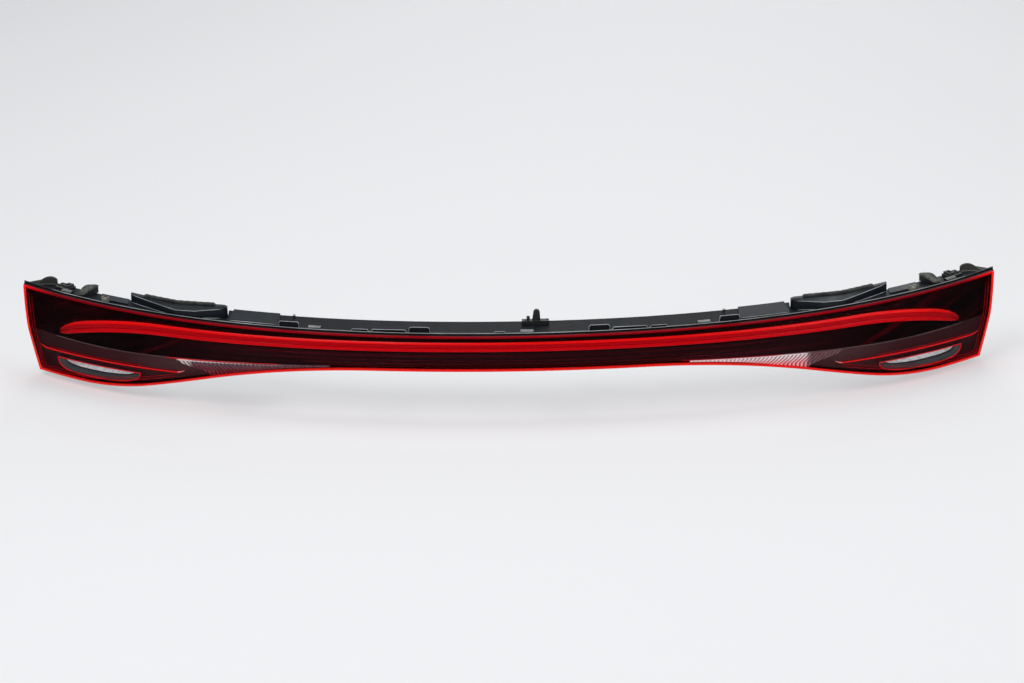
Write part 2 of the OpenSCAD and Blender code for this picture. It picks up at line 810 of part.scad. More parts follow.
// Reversing-lamp window: a clear plate that lies on the bezel over its opening
function window_foot(x) =
    let (deep = window_to - window_belly,
         q = x > deep ? (x - deep) / window_belly : (deep - x) / (deep - window_from))
    -window_top - window_h * max(0.12, x > deep ? pow(1 - pow(q, 3), 1 / 3) : sqrt(1 - sq(q)));
window_xs = concat(
    [for (a = [4, 14, 26, 40, 56, 72]) window_to - window_belly - (window_len - window_belly) * cos(a)],
    [for (a = [90, 70, 50, 32, 16, 4]) window_to - window_belly + window_belly * cos(a)]
);
module reverse_window_right() {
    color([0.45, 0.5, 0.5])
    loft([for (x = window_xs)
        let (zt = -window_top, zb = window_foot(x), back = bezel_in - seat_gap, front = back - window_t)
        [for (oz = [[face(x, zt) + front, zt], [face(x, zb) + front, zb], [face(x, zb) + back, zb],
                    [face(x, zt) + back, zt]]) at(x, oz)]
    ]);
}
module reverse_window_left() mirror([1, 0, 0]) reverse_window_right();

// Silver bowl behind the opening: a rim on the bezel's back and a dished floor
bowl_from = window_from + bowl_in - bowl_rim;
bowl_to = window_to - bowl_out + bowl_rim;
function bowl_row(x, out) =
    let (u = (x - bowl_from) / (bowl_to - bowl_from), zt = -window_top - bowl_in / 6 + bowl_rim,
         zb = zt - bowl_h - 2 * bowl_rim, dish = bowl_d * sqrt(max(0, 1 - sq(2 * u - 1))))
    [for (v = [0, 0.12, 0.3, 0.5, 0.7, 0.88, 1])
        let (z = mix(zt, zb, v), k = v < 0.1 || v > 0.9 ? 0 : sin(180 * v))
        [face(x, z) + bezel_in + bezel_t + bowl_gap + dish * k + out, z]];
module reverse_reflector_right() {
    xs = [for (a = [180:-15:0]) mix(bowl_from, bowl_to, 0.5 + 0.5 * cos(a))];
    color([0.85, 0.86, 0.88])
    skin([for (x = xs) [for (oz = bowl_row(x, 0)) at(x, oz)]], [],
         [for (x = xs) [for (oz = bowl_row(x, bowl_t)) at(x, oz)]]);
}
module reverse_reflector_left() mirror([1, 0, 0]) reverse_reflector_right();

// Reversing-lamp board, its diodes and its heat sink, behind the bowl
// The bowl is as deep as they leave room for
// before the housing's back wall.
behind_bezel = bezel_in + bezel_t + bowl_gap + seat_gap;
reverse_x = (bowl_from + bowl_to) / 2;
reverse_z = -window_top - bowl_in / 6 - bowl_h / 2;
function inner_back(x, z) =
    let (
        zt = top_z(x) - roof_in - house_wall,
        zb = foot_z(x) + foot_up + house_wall,
        middle = mix(zt, zb, 0.5) - rib_t,
        low = zb + back_flat
    )
    lamp_depth - house_wall - mix(back_lean / 3, back_lean, clamp01((middle - z) / (middle - low)));
sink_stack = bowl_t + reverse_board_t + led_gap + sink_base + sink_fin_d + sink_room;
bowl_room = inner_back(reverse_x, reverse_z - reverse_board_h / 2) - face(reverse_x, reverse_z);
bowl_d = bowl_room - behind_bezel - sink_stack;
module behind_bowl()
    translate([reverse_x, y_at(reverse_x, face(reverse_x, reverse_z) + behind_bezel + bowl_d + bowl_t),
               reverse_z])
    rotate([0, 0, turn(reverse_x)])
    children();
module reverse_board_right() {
    color([0.1, 0.4, 0.2])
    behind_bowl()
    difference() {
        translate([-reverse_board_w / 2, 0, -reverse_board_h / 2])
            cube([reverse_board_w, reverse_board_t, reverse_board_h]);
        for (x = [-1, 1])
            translate([x * (reverse_board_w / 2 - screw_edge), 0, 0])
            along_y(screw_r + press_gap, -1, reverse_board_t + 1);
    }
}
module reverse_board_left() mirror([1, 0, 0]) reverse_board_right();
module reverse_heat_sink_right() {
    color([0.7, 0.71, 0.73])
    behind_bowl()
    translate([-reverse_board_w / 2, reverse_board_t + led_gap, -reverse_board_h / 2]) {
        difference() {
            cube([reverse_board_w, sink_base, reverse_board_h]);
            for (x = [-1, 1])
                translate([reverse_board_w / 2 + x * (reverse_board_w / 2 - screw_edge), 0, reverse_board_h / 2])
                along_y(screw_r + press_gap, -1, sink_base + 1);
        }
        for (i = [1:sink_fins - 1])
            translate([i * reverse_board_w / sink_fins - sink_fin_t / 2, sink_base - 0.2, 0])
            cube([sink_fin_t, sink_fin_d + 0.2, reverse_board_h]);
    }
}
module reverse_heat_sink_left() mirror([1, 0, 0]) reverse_heat_sink_right();

// Control module on its four posts: a finned case, a lid towards the lamp and the board between them
module at_module() on_back(module_in - half_w, module_z) translate([0, module_gap + led_gap, 0]) children();
module module_lid() {
    color([0.2, 0.2, 0.22])
    at_module()
    difference() {
        translate([-module_w / 2, 0, -module_h / 2]) cube([module_w, lid_t, module_h]);
        for (x = module_posts, z = [-1, 1])
            translate([x, 0, z * (module_h / 2 - post_edge)]) along_y(screw_r + press_gap, -1, lid_t + 1);
    }
}
module module_case() {
    color([0.72, 0.73, 0.75])
    at_module()
    difference() {
        union() {
            translate([-module_w / 2, lid_t + led_gap, -module_h / 2]) cube([module_w, module_d, module_h]);
            for (i = [1:case_fins])
                translate([mix(-1, 1, i / (case_fins + 1)) * (module_w / 2 - case_margin) - sink_fin_t / 2,
                           lid_t + module_d - 0.5, -module_h / 2 + case_margin])
                cube([sink_fin_t, case_fin_d, module_h - 2 * case_margin]);
        }
        translate([-module_w / 2 + case_margin, lid_t, -module_h / 2 + 3])
            cube([module_w - 2 * case_margin, module_d - 3, module_h - 6]);
        for (x = module_posts, z = [-1, 1])
            translate([x, 0, z * (module_h / 2 - post_edge)])
            along_y(screw_r + press_gap, 0, lid_t + module_d + 2);
    }
}
module module_board() {
    color([0.1, 0.4, 0.2])
    at_module()
    translate([-module_w / 2 + 2 * post_edge, lid_t + seat_gap, -module_h / 2 + 3 + fit_gap])
    cube([module_w - 4 * post_edge, reverse_board_t, module_h - 6 - 2 * fit_gap]);
}
module board_screws() {
    color([0.6, 0.6, 0.62]) {
        at_module()
            for (x = module_posts, z = [-1, 1])
                translate([x, 0, z * (module_h / 2 - post_edge)])
                screw(lid_t + led_gap + module_d, lid_t + led_gap + module_d + post_bore - 1);
        both_sides() behind_bowl()
            for (x = [-1, 1])
                translate([x * (reverse_board_w / 2 - screw_edge), reverse_board_t + led_gap + sink_base, 0])
                screw(0, reverse_board_t + sink_base + led_gap - 0.2);
    }
}
// Pan-head screw with a hexagon socket, its head seated at y = seat
module screw(seat, grip = 10)
    difference() {
        union() {
            along_y(screw_r, seat - grip, seat + 0.5);
            along_y(screw_head_r, seat, seat + screw_head_h);
        }
        translate([0, seat + screw_head_h - 1, 0])
            rotate([-90, 0, 0]) cylinder(r = screw_r * 0.7, h = 2, $fn = 6);
    }

// Connector socket with its flange on its raised pad, and its pins
module at_socket() on_back(socket_x, socket_z) translate([0, pad_out, 0]) children();
module connector_socket() {
    ow = socket_w + 2 * socket_wall;
    oh = socket_h + 2 * socket_wall;
    color([0.08, 0.08, 0.09])
    at_socket()
    difference() {
        union() {
            translate([-ow / 2, -socket_sink, -oh / 2]) cube([ow, socket_sink + socket_d, oh]);
            translate([-ow / 2 - 3, socket_flange, -oh / 2 - 3]) cube([ow + 6, 2, oh + 6]);
            translate([-socket_key / 2, socket_flange + 1, oh / 2 - 0.5])
                cube([socket_key, socket_d - socket_flange - 2, 2.5]);
        }
        translate([-socket_w / 2, 0, -socket_h / 2]) cube([socket_w, socket_d + 1, socket_h]);
        for (i = [0:pin_count - 1])
            translate([pin_at(i), 0, 0])
                cube([pin_s + 2 * press_gap, 4 * socket_sink, pin_s + 2 * press_gap], center = true);
    }
}
function pin_at(i) = (i - (pin_count - 1) / 2) * pin_pitch;
module connector_pins() {
    color([0.85, 0.75, 0.4])
    at_socket()
    for (i = [0:pin_count - 1])
        translate([pin_at(i) - pin_s / 2, -socket_sink - 3, -pin_s / 2])
        cube([pin_s, socket_sink + 3 + socket_d * 0.6, pin_s]);
}

// Locating pin with a bevelled tip, its thicker root pressed into its boss
module locating_pin()
    color([0.6, 0.6, 0.58])
    rotate([-90, 0, 0])
    rotate_extrude()
    polygon([[0, press_gap - pin_root], [pin_root_r, press_gap - pin_root], [pin_root_r, 0], [pin_r, 0],
             [pin_r, pin_len - pin_tip], [pin_r - pin_tip, pin_len], [0, pin_len]]);

// Studs in their bosses, each with a hexagon collar and a threadless shank, and the foam seals round them
module mounting_studs() {
    color([0.75, 0.74, 0.68])
    both_sides() for (p = stud_places)
        translate([p[0], boss_y(p), p[1]]) {
            along_y(stud_r, -stud_root + press_gap, stud_len - 1);
            translate([0, stud_len - 1, 0]) rotate([-90, 0, 0]) cylinder(r1 = stud_r, r2 = stud_r - 1, h = 1);
            translate([0, press_gap, 0]) rotate([-90, 0, 0]) cylinder(r = stud_r + 2.2, h = 2.2, $fn = 6);
        }
}
module stud_seals() {
    color([0.2, 0.2, 0.2])
    both_sides() for (p = stud_places)
        translate([p[0], boss_y(p), p[1]])
        difference() {
            along_y(boss_r + 3, press_gap, seal_t);
            along_y(stud_r + 2.8, -1, seal_t + 1);
        }
}

// Vent caps over the vent spigots
module vent_cap_right() {
    color([0.1, 0.1, 0.11])
    on_back(half_w - vent_in, vent_z)
    difference() {
        along_y(vent_r + 2 + press_gap, vent_len - 6, vent_len + 2);
        along_y(vent_r + press_gap, vent_len - 7, vent_len + press_gap);
        for (a = [0:60:300])
            rotate([0, a, 0]) translate([vent_r, vent_len - 4.5, -1]) cube([6, 2, 2]);
    }
}
module vent_cap_left() mirror([1, 0, 0]) vent_cap_right();

// Shroud on the roof: a water wall that runs from its outer tip in to its foot and back to a rounded lobe
shroud_to = half_w - shroud_in;
shroud_from = shroud_to - shroud_len;
shroud_foot_to = shroud_to - shroud_len * 0.48;
shroud_foot_from = shroud_to - shroud_len * 0.69;
rise_to = shroud_from - rise_gap;
plate_to = shroud_from - plate_gap;
plate_from = plate_to - plate_len;
function roof(x) = top_z(x) - roof_in + roof_gap;
function shroud_front(x) =
    lamp_depth - (
        x > shroud_foot_to ? mix(foot_out, tip_out, (x - shroud_foot_to) / (shroud_to - shroud_foot_to)) :
        x > shroud_foot_from ? foot_out :
        mix(foot_out, lobe_out, pow((shroud_foot_from - x) / (shroud_foot_from - shroud_from), 0.8)));
function shroud_top(x) =
    x > shroud_foot_to ? mix(shroud_h * 0.75, shroud_h, (x - shroud_foot_to) / (shroud_to - shroud_foot_to)) :
    mix(lobe_h, shroud_h * 0.75, clamp01((x - shroud_from) / (shroud_foot_to - shroud_from)));
shroud_xs = concat(
    [for (i = [0:2]) shroud_from + 3 * i],
    spread(shroud_from + 12, shroud_foot_from, 3),
    spread(shroud_foot_from + 4, shroud_foot_to, 2),
    spread(shroud_foot_to + 8, shroud_to, 6)
);
module top_shroud_right() {
    color([0.14, 0.15, 0.17])
    loft([for (i = [0:len(shroud_xs) - 1])
        let (
            x = shroud_xs[i],
            tuck = i < 3 ? [4.5, 1.8, 0.5][i] : 0,
            f = shroud_front(x) + tuck,
            b = lamp_depth - 1 - tuck,
            z = roof(x),
            h = shroud_top(x)
        )
        [for (oz = [[f + 3, z + h - 1.6], [f + 1, z + h], [f, z], [b, z], [b, z + h + shroud_crown],
                    [b - shroud_lip + 1, z + h + shroud_crown]])
            at(x, oz)]
    ]);
}
module top_shroud_left() mirror([1, 0, 0]) top_shroud_right();
module shroud_foam_right() {
    xs = spread(shroud_from + strip_in, shroud_to - strip_out, 8);
    color([0.3, 0.32, 0.3])
    loft([for (x = xs)
        let (z = roof(x) + shroud_top(x) + shroud_crown + seat_gap, b = lamp_depth - 1.5, f = lamp_depth - 8)
        [for (oz = [[f + 0.6, z + foam_t], [f, z], [b, z], [b - 0.6, z + foam_t]]) at(x, oz)]
    ]);
}
module shroud_foam_left() mirror([1, 0, 0]) shroud_foam_right();

// Turns a solid lofted along +X into one that runs along +Y
module crosswise() mirror([1, -1, 0]) children();

// Side bracket: an arm that climbs from the flange to the back, with a foam cover on it
bracket_x = half_w - bracket_in;
function arm_x(t) = bracket_x + mix(9, -5, t);
function arm_y(t) = y_at(arm_x(t), mix(arm_front, lamp_depth - 2, t));
function arm_half(t) = mix(4, 7, t);
function arm_top(t) = roof(arm_x(t)) + 2 + (bracket_h - foam_t - 2) * pow(t, 0.8);
module side_bracket_right() {
    color([0.16, 0.17, 0.18])
    crosswise()
    loft([for (t = spread(0, 1, 5))
        let (x = arm_x(t), w = arm_half(t), y = arm_y(t))
        [[y, x - w, arm_top(t)], [y, x - w, roof(x)], [y, x + w, roof(x)], [y, x + w, arm_top(t)]]
    ]);
}
module side_bracket_left() mirror([1, 0, 0]) side_bracket_right();
module bracket_foam_right() {
    color([0.33, 0.35, 0.32])
    crosswise()
    loft([for (t = spread(0, 1, 5))
        let (x = arm_x(t), w = arm_half(t) + 1, y = arm_y(t), z = arm_top(t) + seat_gap)
        [[y, x - w + 1, z + foam_t], [y, x - w, z], [y, x + w, z], [y, x + w - 1, z + foam_t]]
    ]);
}
module bracket_foam_left() mirror([1, 0, 0]) bracket_foam_right();

// End hood: a curved wall on the roof that rises from the end of the lamp to a rounded peak at the back
hood_to = half_w - hood_in;
hood_from = hood_to - hood_len;
function hood_depth(x) = mix(lamp_depth - 2, hood_front, pow((x - hood_from) / hood_len, 1.3));
function hood_top(x) =
    let (u = (x - hood_from) / hood_len)
    1 + (hood_h - 1) * (u < hood_peak ? sqrt(1 - 0.6 * sq(1 - u / hood_peak)) :
                                        cos(90 * (u - hood_peak) / (1 - hood_peak)));
module end_hood_right() {
    color([0.2, 0.21, 0.2])
    loft([for (x = concat(spread(hood_from, hood_from + hood_len * hood_peak, 4),
                          spread(hood_from + hood_len * (hood_peak + 0.12), hood_to, 6)))
        let (z = roof(x), d = hood_depth(x), h = hood_top(x))
        [for (oz = [[d - hood_t, z + h - 0.5], [d - hood_t, z + 0.8], [d - hood_t - 2, z], [d, z],
                    [d, z + h - 0.5],
                    [d - 0.5, z + h], [d - hood_t + 0.5, z + h]]) at(x, oz)]
    ]);
}
module end_hood_left() mirror([1, 0, 0]) end_hood_right();

// Flat plates on the roof, lofted between two places; slant moves the back edge outwards
module roof_plate(from, to, front, back, h, n, slant = 0)
    loft([for (i = [0:n])
        let (x = mix(from, to, i / n), xb = x + slant * i / n, z = roof(x) + rise_at(x, front),
             zb = roof(xb) + rise_at(xb, back))
        [[x, y_at(x, front), z + h], [x, y_at(x, front), z],
         [xb, y_at(xb, back), zb], [xb, y_at(xb, back), zb + h]]
    ]);
module inner_plate_right() {
    color([0.1, 0.11, 0.13])
    roof_plate(plate_from, plate_to, plate_front, lamp_depth - 1, plate_h, 5, -plate_slant);
}
module inner_plate_left() mirror([1, 0, 0]) inner_plate_right();
module outer_plate_right() {
    color([0.15, 0.17, 0.2])
    roof_plate(shroud_to + plate_gap, bracket_x - arm_half(1) - outer_plate_in, lamp_depth - outer_plate_d,
               lamp_depth - outer_plate_back, outer_plate_h, 3);
}
module outer_plate_left() mirror([1, 0, 0]) outer_plate_right();

// Pale plug that stands beside the bracket
module pale_plug_right() {
    color([0.62, 0.62, 0.58])
    on_roof(bracket_x - plug_from_bracket, plug_depth)
    translate([0, 0, seat_gap])
    difference() {
        translate([-plug_w / 2, 0, 0]) cube([plug_w, plug_w * 0.75, plug_h]);
        translate([-plug_w / 2 + 1.2, -1, plug_h - 2.4]) cube([plug_w - 2.4, plug_w * 0.75 + 2, 3]);
    }
}
module pale_plug_left() mirror([1, 0, 0]) pale_plug_right();

// Clip block between the bracket and the hood: a stepped block with a slot and a latch nose
module clip_block_right() {
    color([0.1, 0.1, 0.11])
    on_roof(half_w - block_in, block_depth)
    translate([0, 0, seat_gap])
    difference() {
        union() {
            translate([-block_w / 2, 0, 0]) cube([block_w, 16, 3]);
            translate([-block_w / 2 + 2, 3, 0]) cube([block_w * 0.4, 12, 6]);
            translate([block_w * 0.15, 5, 0]) cube([block_w * 0.3, 9, 4.5]);
        }
        translate([-block_w / 2 + 4, 5, 2]) cube([block_w * 0.4 - 4, 7, 6]);
        translate([block_w * 0.15 + 1.5, 7, 2]) cube([block_w * 0.3 - 3, 4, 6]);
    }
}
module clip_block_left() mirror([1, 0, 0]) clip_block_right();

// Sheet spring clips along the flange: a folded strip, open underneath
module spring_clip()
    translate([-clip_w / 2, 0, seat_gap])
    rotate([90, 0, 90])
    linear_extrude(clip_w)
    polygon([[0, 0], [0, 3], [2, 4.2], [5, 4.2], [7, 2.5], [7, 0], [6.2, 0], [6.2, 2.1], [4.7, 3.4], [2.2, 3.4],
             [0.8, 2.6], [0.8, 0]]);
module behind_flange(x)
    on_roof(x, weld(x, top_z(x)) + weld_gap + flange_t + clip_room)
    children();
module spring_clips() {
    color([0.75, 0.76, 0.78]) {
        both_sides() {
            behind_flange(roof_tabs[3][0] * plate_from - clip_in) spring_clip();
            behind_flange(half_w - end_clip_in) spring_clip();
        }
        behind_flange(locator_x - 11) spring_clip();
    }
}

// Centre locator: a foot on the roof's back edge, a leaning fin with a rounded top, and a lug beside it
module centre_locator() {
    color([0.09, 0.09, 0.1])
    on_roof(locator_x, lamp_depth - locator_d - 1)
    translate([0, 0, roof_rise + seat_gap]) {
        difference() {
            translate([-locator_w / 2, 0, 0])
                rotate([90, 0, 90])
                linear_extrude(locator_w)
                polygon([[0, -locator_d * tan(rise_angle)], [locator_d, 0], [locator_d, locator_foot],
                         [0, locator_foot]]);
            for (x = [-1, 1])
                translate([x * (locator_w / 2 - 3), 3, locator_foot - 1.5]) cube([3, locator_d - 6, 3]);
        }
        translate([fin_w * 0.1, locator_d / 2 + 2.5, 0])
            rotate([90, 0, 0])
            linear_extrude(5) {
                polygon([[-fin_w / 2, 0], [fin_w / 2, 0], [fin_w / 2 - 1, locator_h - fin_r],
                         [fin_w / 2 - 1 - 2 * fin_r, locator_h - fin_r]]);
                translate([fin_w / 2 - 1 - fin_r, locator_h - fin_r]) circle(r = fin_r);
            }
        translate([-fin_w, locator_d / 2 - 2, 0]) cube([4, 4, locator_foot + 5]);
    }
}

// Small pins on the roof's back edge, one on each side
module edge_pins() {
    color([0.3, 0.31, 0.33])
    both_sides() on_rise(plate_from - edge_pin_in, lamp_depth - 3)
    translate([0, 0, seat_gap]) cylinder(r = edge_pin_r, h = edge_pin_h);
}

outer_lens();
rear_housing();
inner_bezel();
band_light_guide();
band_reflector_centre();
band_reflector_left();
band_reflector_right();
led_board_centre();
led_board_left();
led_board_right();
band_leds();
accent_guide_left();
accent_guide_right();
ribbed_optic_left();
ribbed_optic_right();
reverse_window_left();
reverse_window_right();
reverse_reflector_left();
reverse_reflector_right();
reverse_board_left();
reverse_board_right();
reverse_heat_sink_left();
reverse_heat_sink_right();
module_case();
module_lid();
module_board();
board_screws();
connector_socket();
connector_pins();
mounting_studs();
stud_seals();
vent_cap_left();
vent_cap_right();
top_shroud_left();
top_shroud_right();
shroud_foam_left();
shroud_foam_right();
side_bracket_left();
side_bracket_right();
bracket_foam_left();
bracket_foam_right();
end_hood_left();
end_hood_right();
inner_plate_left();
inner_plate_right();
outer_plate_left();
outer_plate_right();
pale_plug_left();
pale_plug_right();
clip_block_left();
clip_block_right();
spring_clips();
centre_locator();
edge_pins();
locating_pin();
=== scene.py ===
import math

import bpy
from mathutils import Matrix, Vector


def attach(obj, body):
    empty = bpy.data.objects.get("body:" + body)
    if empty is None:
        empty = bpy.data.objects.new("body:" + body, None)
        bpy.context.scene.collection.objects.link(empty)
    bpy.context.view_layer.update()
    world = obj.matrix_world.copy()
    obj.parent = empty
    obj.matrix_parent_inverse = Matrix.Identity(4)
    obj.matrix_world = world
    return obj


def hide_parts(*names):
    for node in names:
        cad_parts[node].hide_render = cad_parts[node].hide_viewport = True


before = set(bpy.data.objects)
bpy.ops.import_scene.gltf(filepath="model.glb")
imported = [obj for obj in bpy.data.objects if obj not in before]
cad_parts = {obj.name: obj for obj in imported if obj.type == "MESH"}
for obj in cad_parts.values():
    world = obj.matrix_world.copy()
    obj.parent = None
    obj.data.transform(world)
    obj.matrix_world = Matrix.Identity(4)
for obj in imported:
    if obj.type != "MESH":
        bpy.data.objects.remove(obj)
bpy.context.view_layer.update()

scene = bpy.context.scene
mm = 0.001
print("frame loaded:", len(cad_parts), "nodes")


# the lamp's shape, in millimetres, as the solids have it
# z is up from the centre pin, and depth is measured back from the crease

lamp = {
    "halfWidth": 636.0,
    "planBow": 190.0,  # how far the ends lie behind the middle
    "planGather": 0.3,  # share of that bow that comes late, towards the ends
    "topMid": 22.0,
    "topRise": 9.0,
    "footMid": 22.0,
    "flareDrop": 61.5,  # how much lower the foot is at the ends
    "flare": (171.0, 398.0, 470.0, 581.0),  # where it bends in, runs straight, eases off and ends
    "endRake": 0.14,
    "creaseMid": 14.0,
    "creaseDip": 12.0,
    "creaseDipX": 490.0,
    "creaseLift": 8.0,
    "depth": 54.0,
    "roofIn": 1.0,
    "topSet": (9.0, 8.0),  # depth of the top edge in the middle, and what the ends add
    "footTuck": (3.0, 15.0),  # the same for the foot
    "topBulge": 1.6,
    "footBulge": 1.2,
    "weldBehind": 8.5,
    "edgeRound": 3.5,
}


def mix(a, b, t):
    return a + (b - a) * t


def clamp01(v):
    return min(1.0, max(0.0, v))


def spread(a, b, n):
    return [mix(a, b, i / n) for i in range(n + 1)]


def reach(x):
    return abs(x) / lamp["halfWidth"]


def bow(x):
    t, g = reach(x), lamp["planGather"]
    return lamp["planBow"] * ((1 - g) * t ** 2 + g * t ** 4)


def slope(x):
    return bow(x + 0.5) - bow(x - 0.5)


def yAt(x, depth):
    return bow(x) - lamp["depth"] + depth * math.sqrt(1 + slope(x) ** 2)


def turn(x):
    return math.atan(slope(x))


def ramp(x, a, b, c, d):
    # share of the flare at x: bends in from a to b, runs straight to c, eases off until d
    m = 2 / (c + d - a - b)
    if x <= a:
        return 0.0
    if x <= b:
        return m * (x - a) ** 2 / (2 * (b - a))
    if x <= c:
        return m * ((b - a) / 2 + x - b)
    if x <= d:
        return m * ((b - a) / 2 + x - b - (x - c) ** 2 / (2 * (d - c)))
    return 1.0


def topZ(x):
    return lamp["topMid"] + lamp["topRise"] * reach(x) ** 2


def footZ(x):
    return -lamp["footMid"] - lamp["flareDrop"] * ramp(abs(x), *lamp["flare"])


def creaseZ(x):
    x0 = lamp["creaseDipX"]
    if abs(x) < x0:
        return -lamp["creaseMid"] - lamp["creaseDip"] * (1 - (1 - (x / x0) ** 2) ** 1.5)
    out = (abs(x) - x0) / (lamp["halfWidth"] - x0)
    return -lamp["creaseMid"] - lamp["creaseDip"] + lamp["creaseLift"] * out ** 2


def endX(z):
    return lamp["halfWidth"] - lamp["endRake"] * (lamp["topMid"] + lamp["topRise"] - z)


def topBack(x):
    middle, more = lamp["topSet"]
    return middle + more * reach(x) ** 2


def footBack(x):
    middle, more = lamp["footTuck"]
    return middle + more * reach(x) ** 2


def face(x, z):
    # how far the lens's face lies behind the crease
    c = creaseZ(x)
    if z > c:
        return topBack(x) * clamp01((z - c) / (topZ(x) - c)) ** lamp["topBulge"]
    return footBack(x) * clamp01((c - z) / (c - footZ(x))) ** lamp["footBulge"]


def weldDepth(x, z):
    h = clamp01((topZ(x) - z) / (topZ(x) - footZ(x)))
    return mix(topBack(x), footBack(x), h) + lamp["weldBehind"]


def at(x, depth, z):
    return (x, yAt(x, depth), z)


def behindFace(x, z, depth):
    return at(x, face(x, z) + depth, z)


def place(s, depth, z, inset=0.0):
    x = s * (endX(z) - inset)
    return (x, yAt(x, depth), z)


# making meshes

def pieceFrom(name, points, faces, mats, kinds=None, slot=None, replaces=()):
    me = bpy.data.meshes.new(name)
    me.from_pydata([tuple(c * mm for c in p) for p in points], [], faces)
    me.validate()
    me.update()
    for m in mats:
        me.materials.append(m)
    if kinds is not None:
        me.polygons.foreach_set("material_index", kinds)
    me.polygons.foreach_set("use_smooth", [True] * len(me.polygons))
    ob = bpy.data.objects.new(name, me)
    scene.collection.objects.link(ob)
    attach(ob, "root")
    if replaces:
        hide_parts(*replaces)
    return ob


def creaseBy(ob, degrees):
    # sharp edges where the faces turn by more than this
    me = ob.data
    limit = math.radians(degrees)
    me.update()
    normals = [p.normal.copy() for p in me.polygons]
    owners = {}
    for p in me.polygons:
        for k in p.edge_keys:
            owners.setdefault(k, []).append(p.index)
    flags = [False] * len(me.edges)
    for e in me.edges:
        own = owners.get(tuple(sorted(e.vertices)), [])
        if len(own) == 2 and normals[own[0]].angle(normals[own[1]], 0.0) > limit:
            flags[e.index] = True
    layer = me.attributes.get("sharp_edge") or me.attributes.new("sharp_edge", "BOOLEAN", "EDGE")
    layer.data.foreach_set("value", flags)


def loftAlong(sections):
    # sections run along the piece, each a ring of points, and the two ends are capped
    n, m = len(sections), len(sections[0])
    points = [p for s in sections for p in s]
    faces = []
    for i in range(n - 1):
        for j in range(m):
            a, b = i * m + j, i * m + (j + 1) % m
            faces.append((a, a + m, b + m, b))
    faces.append(tuple(range(m)))
    faces.append(tuple(range(n * m - 1, (n - 1) * m - 1, -1)))
    return points, faces


def tubeAlong(path, radius, sides=10, startShare=1.0):
    # a round bead along a path, thinner at its two ends
    sections = []
    n = len(path)
    pts = [Vector(p) for p in path]
    for i, p in enumerate(pts):
        ahead = (pts[min(i + 1, n - 1)] - pts[max(i - 1, 0)]).normalized()
        side = ahead.cross(Vector((0, 0, 1)))
        side = side.normalized() if side.length > 1e-6 else Vector((0, 1, 0))
        up = side.cross(ahead).normalized()
        k = min(1.0, 0.35 + 0.65 * min(i, n - 1 - i) / 3) * mix(startShare, 1.0, i / (n - 1))
        sections.append([
            tuple(p + (side * math.cos(a) + up * math.sin(a)) * radius * k)
            for a in [2 * math.pi * j / sides for j in range(sides)]
        ])
    return loftAlong(sections)


def ringAlong(path, radius, sides=8):
    # a closed round bead
    pts = [Vector(p) for p in path]
    n = len(pts)
    points, faces = [], []
    for i, p in enumerate(pts):
        ahead = (pts[(i + 1) % n] - pts[i - 1]).normalized()
        out = Vector((0, -1, 0))
        side = ahead.cross(out).normalized()
        front = side.cross(ahead).normalized()
        for j in range(sides):
            a = 2 * math.pi * j / sides
            points.append(tuple(p + (side * math.cos(a) + front * math.sin(a)) * radius))
    for i in range(n):
        for j in range(sides):
            a, b = i * sides + j, i * sides + (j + 1) % sides
            c, d = ((i + 1) % n) * sides + j, ((i + 1) % n) * sides + (j + 1) % sides
            faces.append((a, c, d, b))
    return points, faces


def gridFaces(rows, cols, first, flip=False):
    faces = []
    for i in range(rows - 1):
        for j in range(cols - 1):
            a = first + i * cols + j
            f = (a, a + cols, a + cols + 1, a + 1)
            faces.append(f[::-1] if flip else f)
    return faces


def border(rows, cols):
    return ([(0, j) for j in range(cols - 1)]
            + [(i, cols - 1) for i in range(rows - 1)]
            + [(rows - 1, j) for j in range(cols - 1, 0, -1)]
            + [(i, 0) for i in range(rows - 1, 0, -1)])


def shell(outer, loops, inner):
    # closed skin from a front grid, loops round its border and a back grid
    rows, cols = len(outer), len(outer[0])
    edge = border(rows, cols)
    n, size = len(edge), rows * cols
    points = [p for part in (outer, inner, loops) for row in part for p in row]
    rings = [[i * cols + j for i, j in edge]]
    rings += [[2 * size + k * n + i for i in range(n)] for k in range(len(loops))]
    rings.append([i * cols + j + size for i, j in edge])
    faces = gridFaces(rows, cols, 0) + gridFaces(rows, cols, size, True)
    for a, b in zip(rings, rings[1:]):
        for i in range(n):
            k = (i + 1) % n
            faces.append((a[i], a[k], b[k], b[i]))
    return points, faces


# finishes

def newMaterial(name):
    m = bpy.data.materials.new(name)
    m.use_nodes = True
    nt = m.node_tree
    nt.nodes.clear()
    out = nt.nodes.new("ShaderNodeOutputMaterial")
    bsdf = nt.nodes.new("ShaderNodeBsdfPrincipled")
    nt.links.new(bsdf.outputs["BSDF"], out.inputs["Surface"])
    return m, nt, bsdf


def noiseOf(nt, coords, scale, detail, rough, stretch=None):
    n = nt.nodes.new("ShaderNodeTexNoise")
    for socket, value in (("Scale", scale), ("Detail", detail), ("Roughness", rough)):
        n.inputs[socket].default_value = value
    source = coords
    if stretch:
        mapping = nt.nodes.new("ShaderNodeMapping")
        mapping.inputs["Scale"].default_value = stretch
        nt.links.new(coords, mapping.inputs["Vector"])
        source = mapping.outputs["Vector"]
    nt.links.new(source, n.inputs["Vector"])
    return n.outputs["Fac"]


def rampOf(nt, fac, stops):
    r = nt.nodes.new("ShaderNodeValToRGB")
    while len(r.color_ramp.elements) < len(stops):
        r.color_ramp.elements.new(0.5)
    for e, (pos, col) in zip(r.color_ramp.elements, stops):
        e.position = pos
        e.color = (*col, 1.0)
    nt.links.new(fac, r.inputs["Fac"])
    return r.outputs["Color"]


def greyRamp(nt, fac, stops):
    return rampOf(nt, fac, [(p, (v, v, v)) for p, v in stops])


